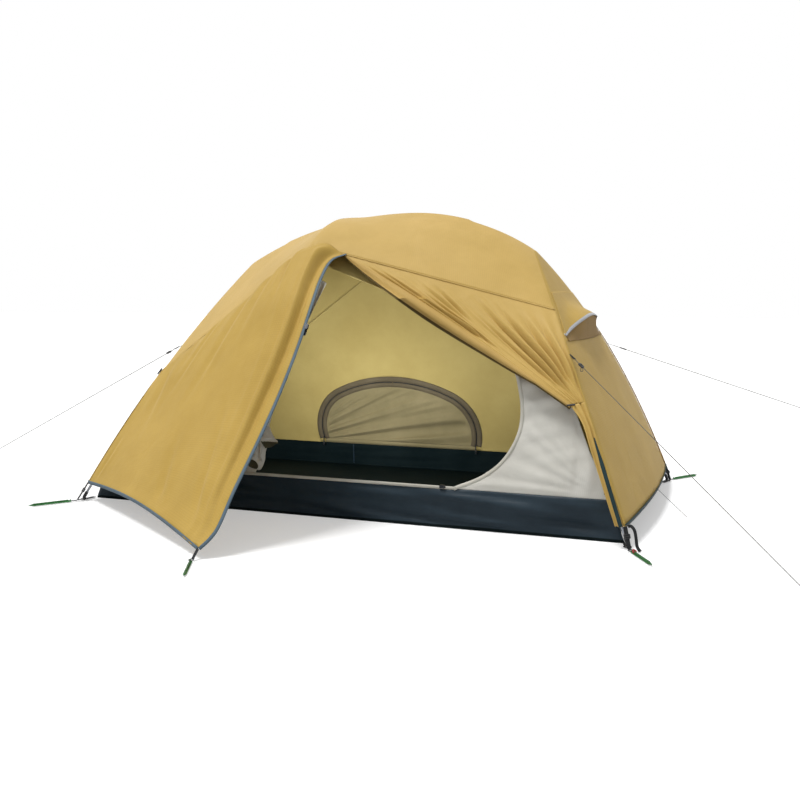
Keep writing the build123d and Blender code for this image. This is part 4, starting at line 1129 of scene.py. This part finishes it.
# a cord pull hangs from each of the hatch's sliders
pull = {"radius": 0.0038, "line": ((0, 0, 0), (0.001, -0.004, -0.012), (0.003, -0.006, -0.030),
                                   (0.002, -0.006, -0.044))}
for name, share in (("Left", 0.012), ("Right", 0.988)):
    hang = coilLine(share) - rearOut * window["pullIn"]
    line = splineThrough([hang + Vector(p) for p in pull["line"]])
    tubePiece("windowPull" + name, "coil", "window_zip", line, pull["radius"], 30, 10,
              lambda u, angle: 0.6 + 0.8 * bell(u, 0.75, 0.18))

shownCurve = part(doorCurve, 0, doorway["shown"])
ribbon("doorwayTape", "paleTape", "inner_zip", lambda u: shownCurve(u) + Vector((0, -0.0012, 0)), 0.013,
       0.0014, 110, facing=(0, -1, 0.3), stands=("inner_door_zip",),
       taper=lambda u: 1 - 0.8 * clamp((u - 0.94) / 0.06))
# the seam takes the same olive: painted light and shade
ribbon("doorwaySeam", "innerFlyLightAndShade", "inner_zip", part(doorCurve, doorway["shown"], 0.995), 0.004, 0.001,
       facing=(0, -1, 0.3))
sillEnds = [(x, frontLow.y - 0.0015, sill + 0.002) for x in (doorCurve(0).x + 0.01, doorway["left"] - 0.62)]
ribbon("sillTape", "paleTape", "inner_zip", straight(*sillEnds), 0.011, 0.0016, 100, facing=(0, -1, 0))
print("inner rear made")

# the floor tub

tub = {"corners": ((-1, -1), (1, -1), (1, 1), (-1, 1)),
       "walls": ((160, 0.014), (60, 0.004), (100, 0.004), (60, 0.004)),
       "thickness": 0.001, "stand": 0.0006, "seamX": -0.395}


def tubWall(a, b, c, d, seed, deep):
    # between the lower line a-b and the upper line c-d
    low, high = straight(a, b), straight(c, d)
    out = Vector(((a.x + b.x) / 2, (a.y + b.y) / 2, 0)).normalized()

    def place(u, v):
        p = mix(high(u), low(u), v)
        ripple = crumple(u * 4 + v * 0.7, v * 3.4 - u * 3, seed) * deep
        ripple += crumple(u * 9, v * 6 - u * 8, seed + 3) * deep * 0.5
        return p + out * ripple * edgeFade(u, 0.06) * edgeFade(v, 0.2)
    return place


def tubShape():
    bm = bmesh.new()
    base = [Vector((x * floor["length"] / 2, y * floor["width"] / 2, tub["stand"]))
            for x, y in tub["corners"]]
    top = [wallPoint(x, y) for x, y in tub["corners"]]
    ground = coons(straight(base[3], base[2]), straight(base[0], base[1]), straight(base[3], base[0]),
                   straight(base[2], base[1]))

    def lifted(u, v):
        lift = Vector((0, 0, max(0, crumple(u * 7, v * 4, 1.7)) * 0.003))
        return ground(u, v) + lift * edgeFade(u, 0.1) * edgeFade(v, 0.1)
    addPatch(bm, lifted, 100, 60, (2.1, 1.1))
    for i, (cols, deep) in enumerate(tub["walls"]):
        j = (i + 1) % 4
        addPatch(bm, tubWall(base[i], base[j], top[i], top[j], 3.0 + i, deep), cols, 14, (cols * 0.02, 0.14))
    closeUp(bm)
    for vert in bm.verts:
        p = vert.co
        slack = easeIn((p.x - 0.80) / 0.2) * sin(pi * clamp(p.y / floor["width"] + 0.5)) ** 0.6
        p.x -= floor["drawIn"] * slack * (1 - min(p.z / floor["front"], 1))
    return bm


tubCloth = finishPiece("floorCloth", tubShape(), "floor", "floor", stands=("floor_tub",),
                       thickness=tub["thickness"], cut=(1.36, 2.36), held="laid")
# the tub's base and rear wall take the darker copy of the floor cloth: painted shade
twoTone(tubCloth, "floorShaded", lambda face: face.center.z < 0.006 or face.center.y > 0.5)
# one seam stands up the rear wall of the tub
ribbon("tubSeam", "floor", "floor", straight((tub["seamX"], 0.5445, 0.004), (tub["seamX"], 0.5400, 0.096)),
       0.006, 0.001, 12, facing=(0, -1, 0))
print("floor made")

# the bunched inner door

bunch = {"steps": 120, "sides": 56, "radius": 0.025,
         "line": ((-0.312, -0.592, 0.188), (-0.310, -0.564, 0.202), (-0.302, -0.552, 0.235),
                  (-0.290, -0.548, 0.268), (-0.286, -0.542, 0.300), (-0.302, -0.528, 0.335),
                  (-0.318, -0.512, 0.375), (-0.312, -0.480, 0.450), (-0.285, -0.440, 0.560),
                  (-0.252, -0.405, 0.675), (-0.225, -0.382, 0.760))}


def bunchShape(u, angle):
    size = 0.42 + 0.72 * bell(u, 0, 0.09) + 0.40 * bell(u, 0.2, 0.07)
    flute = 0.16 * sin(5 * angle + 14 * u) + 0.24 * crumple(cos(angle) * 1.6 + u * 6, sin(angle) * 1.6, 4.4)
    mouth = 1 if u > 0.004 else 0.86
    return size * (1 + flute * min(u / 0.03 + 0.3, 1)) * mouth


tubePiece("innerDoorBunch", "inner", "inner", splineThrough(bunch["line"]), bunch["radius"], bunch["steps"],
          bunch["sides"], bunchShape, stands=("inner_door",))
# its open lower end is in shadow
mouthCentre = Vector(bunch["line"][0])
mouthAxis = (Vector(bunch["line"][1]) - mouthCentre).normalized()
mouthSide = mouthAxis.cross(Vector((0, 0, 1))).normalized()
mouthUp = mouthSide.cross(mouthAxis)


def mouthPlace(u, v):
    angle, far = 2 * pi * u, bunch["radius"] * 0.9 * v
    spoke = mouthSide * cos(angle) + mouthUp * sin(angle)
    return mouthCentre - mouthAxis * (0.0022 - 0.0012 * v) + spoke * far


patchPiece("innerDoorMouth", "innerShade", "inner", mouthPlace, 40, 6, (0.14, 0.02))

# a folded corner of the door points out of the bundle, and its neck rises behind the zip
turnBase = splineThrough(((-0.292, -0.545, 0.342), (-0.266, -0.590, 0.306), (-0.286, -0.588, 0.274),
                          (-0.284, -0.552, 0.242)))
turnTip = Vector((-0.2065, -0.592, 0.2765))
neck = {"low": (-0.235, -0.400, 0.670), "high": (-0.165, -0.360, 0.890)}


def turnPlace(u, v):
    edge = turnTip + Vector((-0.004, 0.002, 0.010)) * (0.5 - v)
    fold = 0.004 * sin(5 * u + 9 * v) * sin(pi * u)
    return mix(turnBase(v), edge, u ** 0.85) + Vector((0, fold, fold))


turn = patchPiece("innerDoorTurn", "inner", "inner", turnPlace, 60, 40, (0.12, 0.10), thickness=0.0008,
                  cut=(0.13, 0.09), held="gathered", rests=("innerDoorBunch",))
# the fold's underside takes the dark innerShade finish: painted shade
twoTone(turn, "innerShade", lambda face: face.center.z < 0.276 and face.center.x > -0.279)


def neckPlace(u, v):
    spine = straight(neck["low"], neck["high"])(u)
    wide = (0.040 + 0.035 * u) * easeIn(u / 0.12) * (1 - easeIn((u - 0.86) / 0.14))
    fold = 0.005 * sin(v * 15 + u * 4) * sin(pi * u)
    return spine + Vector((wide * v, fold - 0.012, -0.004 * v))


patchPiece("innerDoorNeck", "inner", "inner", neckPlace, 50, 24, (0.24, 0.06), thickness=inner["thickness"],
           cut=(0.07, 0.23), held="gathered", rests=("innerCanopy",))

# poles

pole = {"radius": 0.0045, "steps": 90, "sides": 16, "legFrom": 0.008, "ridgeTo": 0.985}


def poleTube(name, node, *lines):
    bm = bmesh.new()
    for line in lines:
        tube(bm, line, pole["radius"], pole["steps"], pole["sides"])
    finishPiece(name, bm, "pole", "pole", stands=(node,))


for name in legNames:
    node = "leg_pole_" + name.replace("R", "_r").replace("L", "_l")
    poleTube(titled("pole", name), node, part(legs[name], pole["legFrom"], 1))
poleTube("poleRidge", "ridge_pole", part(footRidge, 0, pole["ridgeTo"]), part(headRidge, 0, pole["ridgeTo"]))
poleTube("poleCross", "cross_pole", crossPole)
print("poles made")

# the vent hood

hood = {"top": 0.22, "lip": 0.39, "inset": 0.008, "bowX": 0.024, "bowZ": 0.062, "ahead": 0.0026,
        "stand": 0.0016, "shadeFoot": 0.656}
canopyTree = BVHTree.FromPolygons([v.co for v in canopy.data.vertices],
                                  [tuple(f.vertices) for f in canopy.data.polygons])
headEnd = endPlace(1)


def onCanopy(p, stand):
    # the nearest place on the canopy, a little proud of it
    near = canopyTree.find_nearest(p)[0]
    return off(near, stand)


def endShare(height):
    # how far down the middle of the head end a height lies
    return shareWhere(lambda t: headEnd(0.5, t), lambda p: p.z > height)


def hoodShape():
    corners = [[onFly(legs[row + "Right"])(hood[edge]) for row in rows.values()] for edge in ("top", "lip")]
    ahead = headEnd(0.5, endShare(corners[0][0].z)).x - corners[0][0].x + hood["ahead"]
    shift = Vector((ahead, 0, 0))
    inset = Vector((0, hood["inset"], 0))
    top, lip = (straight(front + inset + shift, rear - inset + shift) for front, rear in corners)
    bow = Vector((hood["bowX"], 0, hood["bowZ"]))
    return lambda u, v: mix(top(u), lip(u) + bow * sin(pi * u), v)


hoodLine = hoodShape()


def hoodPlace(u, v):
    p = hoodLine(u, v)
    free = easeIn(min(u, 1 - u) / 0.34) * easeIn((v - 0.1) / 0.9)
    return mix(onCanopy(p, hood["stand"]), p, free)


# the hood takes the end panels' darker copy of the fly cloth: painted shade
patchPiece("ventCloth", "flyEndShaded", "hood", hoodPlace, 60, 26, (0.6, 0.18), body="vent_hood_body",
           stands=("vent_hood",), thickness=0.001, cut=(0.72, 0.24), rests=("flyCanopy",))
lipEdge = ribbon("ventEdge", "greyEdge", "hood", lowEdge(hoodPlace), 0.012, 0.002,
                 taper=lambda u: 1 - 0.85 * easeIn((u - 0.62) / 0.12))
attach(lipEdge, "vent_hood_body")


# a brown sheet from the hood's lip down to the end panel: partly the vent's mesh, partly painted shade under
# the hood
def ventShade(u, v):
    lip = hoodPlace(0.01 + 0.98 * u, 0.985) - Vector((0.001, 0, 0.003))
    foot = headEnd(0.5 + (u - 0.5) * 0.92, endShare(hood["shadeFoot"] - 0.006 * sin(pi * u)))
    return mix(lip, onCanopy(foot, 0.003), v)


patchPiece("ventShade", "ventShade", "hood", ventShade, 40, 12, (0.6, 0.06), thickness=0.0006,
           cut=(0.62, 0.12), rests=("flyCanopy",))

# straps: copies of the flat solids with softened edges


def softCopy(name, node, soften=0.0003):
    bm = bmesh.new()
    bm.from_mesh(nodes[node].data)
    bmesh.ops.remove_doubles(bm, verts=bm.verts, dist=0.00002)
    bmesh.ops.dissolve_limit(bm, angle_limit=radians(2), verts=bm.verts, edges=bm.edges)
    sharp = [e for e in bm.edges if len(e.link_faces) == 2 and e.calc_face_angle(0) > radians(40)]
    bmesh.ops.bevel(bm, geom=sharp, offset=soften, affect="EDGES", segments=2, profile=0.5, material=-1)
    bmesh.ops.recalc_face_normals(bm, faces=bm.faces)
    finishPiece(name, bm, "webbing", "webbing", stands=(node,), flat=True)


softCopy("cornerWebbing", "corner_tabs")
softCopy("groundWebbing", "ground_straps")
softCopy("guyWebbing", "guy_loops")

# the slack tail of the right front strap, and small cord loops
cornerTail = {"line": ((1.068, -0.622, 0.074), (1.078, -0.628, 0.078), (1.090, -0.634, 0.066),
                       (1.096, -0.640, 0.044), (1.101, -0.646, 0.018), (1.112, -0.652, 0.0035)),
              "wide": 0.010}
ribbon("cornerTail", "webbing", "webbing", splineThrough(cornerTail["line"]), cornerTail["wide"], 0.0016, 50,
       facing=(0.4, -1, 0.1))


def cordRing(name, finish, centre, wide, tall, radius, lean=(0, 0, 1), across=(1, 0.38, 0)):
    # a closed drop of cord hanging from its top
    lean, across = Vector(lean), Vector(across)

    def line(t):
        angle = 2 * pi * t
        drop = 1 - cos(angle)
        swing = across.normalized() * sin(angle) * wide * (0.35 + 0.33 * drop)
        return centre + swing - lean * drop * tall / 2
    return tubePiece(name, finish, "line", line, radius, 40, 8, lean=across.cross(lean))


guyDrop = cordRing("guyDrop", "line", guyStart("frontRight") + Vector((0.0505, -0.0420, -0.0421)), 0.006,
                   0.014, 0.0011)
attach(guyDrop, "tensioner_front_right_body")
cordRing("stakeLoop", "pull", Vector((1.0925, -0.672, 0.0130)), 0.0065, 0.015, 0.0024,
         lean=(-0.5, 0.8, 0.35), across=(0.7, 0.5, 0.2))

# finishes of the hard pieces that stay

kept = {
    "moulded": ("pole_hub_head", "pole_hub_foot", "cross_clip", "pole_tips", "inner_clips", "fly_wraps",
                "vent_strut", "tie_toggle_head", "tie_toggle_foot", "tensioner_front_right",
                "tensioner_front_left", "tensioner_rear_right", "corner_buckle_front_right",
                "corner_buckle_front_left", "corner_buckle_rear_right", "corner_buckle_rear_left"),
    "slider": ("door_slider", "door_pull", "window_slider_head", "window_slider_foot", "inner_door_slider"),
    "pole": ("pole_ferrules",),
    "eyelet": ("corner_grommets",),
    "stake": ("ground_stakes",),
}
for finish, names in kept.items():
    for name in names:
        for slot in nodes[name].material_slots:
            slot.material = finishes[finish]
print("finishes given")

# stage

studio = {"floorHalf": 30, "floorDrop": 0.0005, "pale": 0.66, "glow": 0.40, "ambient": 0.47, "spread": 120}


def setStage():
    bm = bmesh.new()
    bmesh.ops.create_grid(bm, x_segments=1, y_segments=1, size=studio["floorHalf"])
    mesh = bpy.data.meshes.new("stageFloor")
    bm.to_mesh(mesh)
    bm.free()
    stageFloor = placed("stageFloor", mesh)
    stageFloor.location.z = -studio["floorDrop"]
    made, tree, shader = newMaterial("stagePale")
    rays = tree.nodes.new("ShaderNodeLightPath").outputs
    setUp(tree, shader, Base_Color=(studio["pale"],) * 3 + (1,), Roughness=1, Specular_IOR_Level=0,
          Emission_Strength=mathAt(tree, "MULTIPLY", rays["Is Camera Ray"], studio["glow"]),
          Emission_Color=(1, 1, 1, 1))
    mesh.materials.append(made)


def addLamp(name, kind, power, turn, **values):
    data = bpy.data.lights.new(name, kind)
    data.energy = power
    for key, value in values.items():
        setattr(data, key, value)
    made = placed(name, data)
    made.rotation_euler = [radians(a) for a in turn]
    return made


def setLight():
    world = bpy.data.worlds.new("studio")
    scene.world = world
    world.use_nodes = True
    tree = world.node_tree
    rays = tree.nodes.new("ShaderNodeLightPath").outputs
    show = mathAt(tree, "MAXIMUM", rays["Is Camera Ray"], rays["Is Glossy Ray"])
    level = nodeAt(tree, "ShaderNodeMapRange", Value=show, To_Min=studio["ambient"], To_Max=1.0)
    setUp(tree, tree.nodes["Background"], Color=(1, 1, 1, 1), Strength=level.outputs["Result"])
    addLamp("key", "SUN", 2.65, (6, -16, 0), angle=radians(18))
    addLamp("fill", "SUN", 0.06, (60, 0, -20), angle=radians(60))
    # the light that comes through the cloth into the sleeping space
    for name, power, wide, tall, place, turn in (
            ("cabinBack", 5.6, 1.0, 0.4, (-0.20, -0.40, 0.33), (90, 0, 3)),
            ("porchPeak", 0.22, 0.4, 0.12, (0.10, -0.40, 0.80), (172, 0, 0)),
            ("cabinRight", 1.1, 0.5, 0.4, (0.25, -0.1, 0.55), (80, 0, -70))):
        lamp = addLamp(name, "AREA", power, turn, spread=radians(studio["spread"]), shape="RECTANGLE",
                       size=wide, size_y=tall)
        lamp.location = place
        lamp.visible_camera = False
        lamp.visible_glossy = False


setStage()
setLight()
print("stage set")
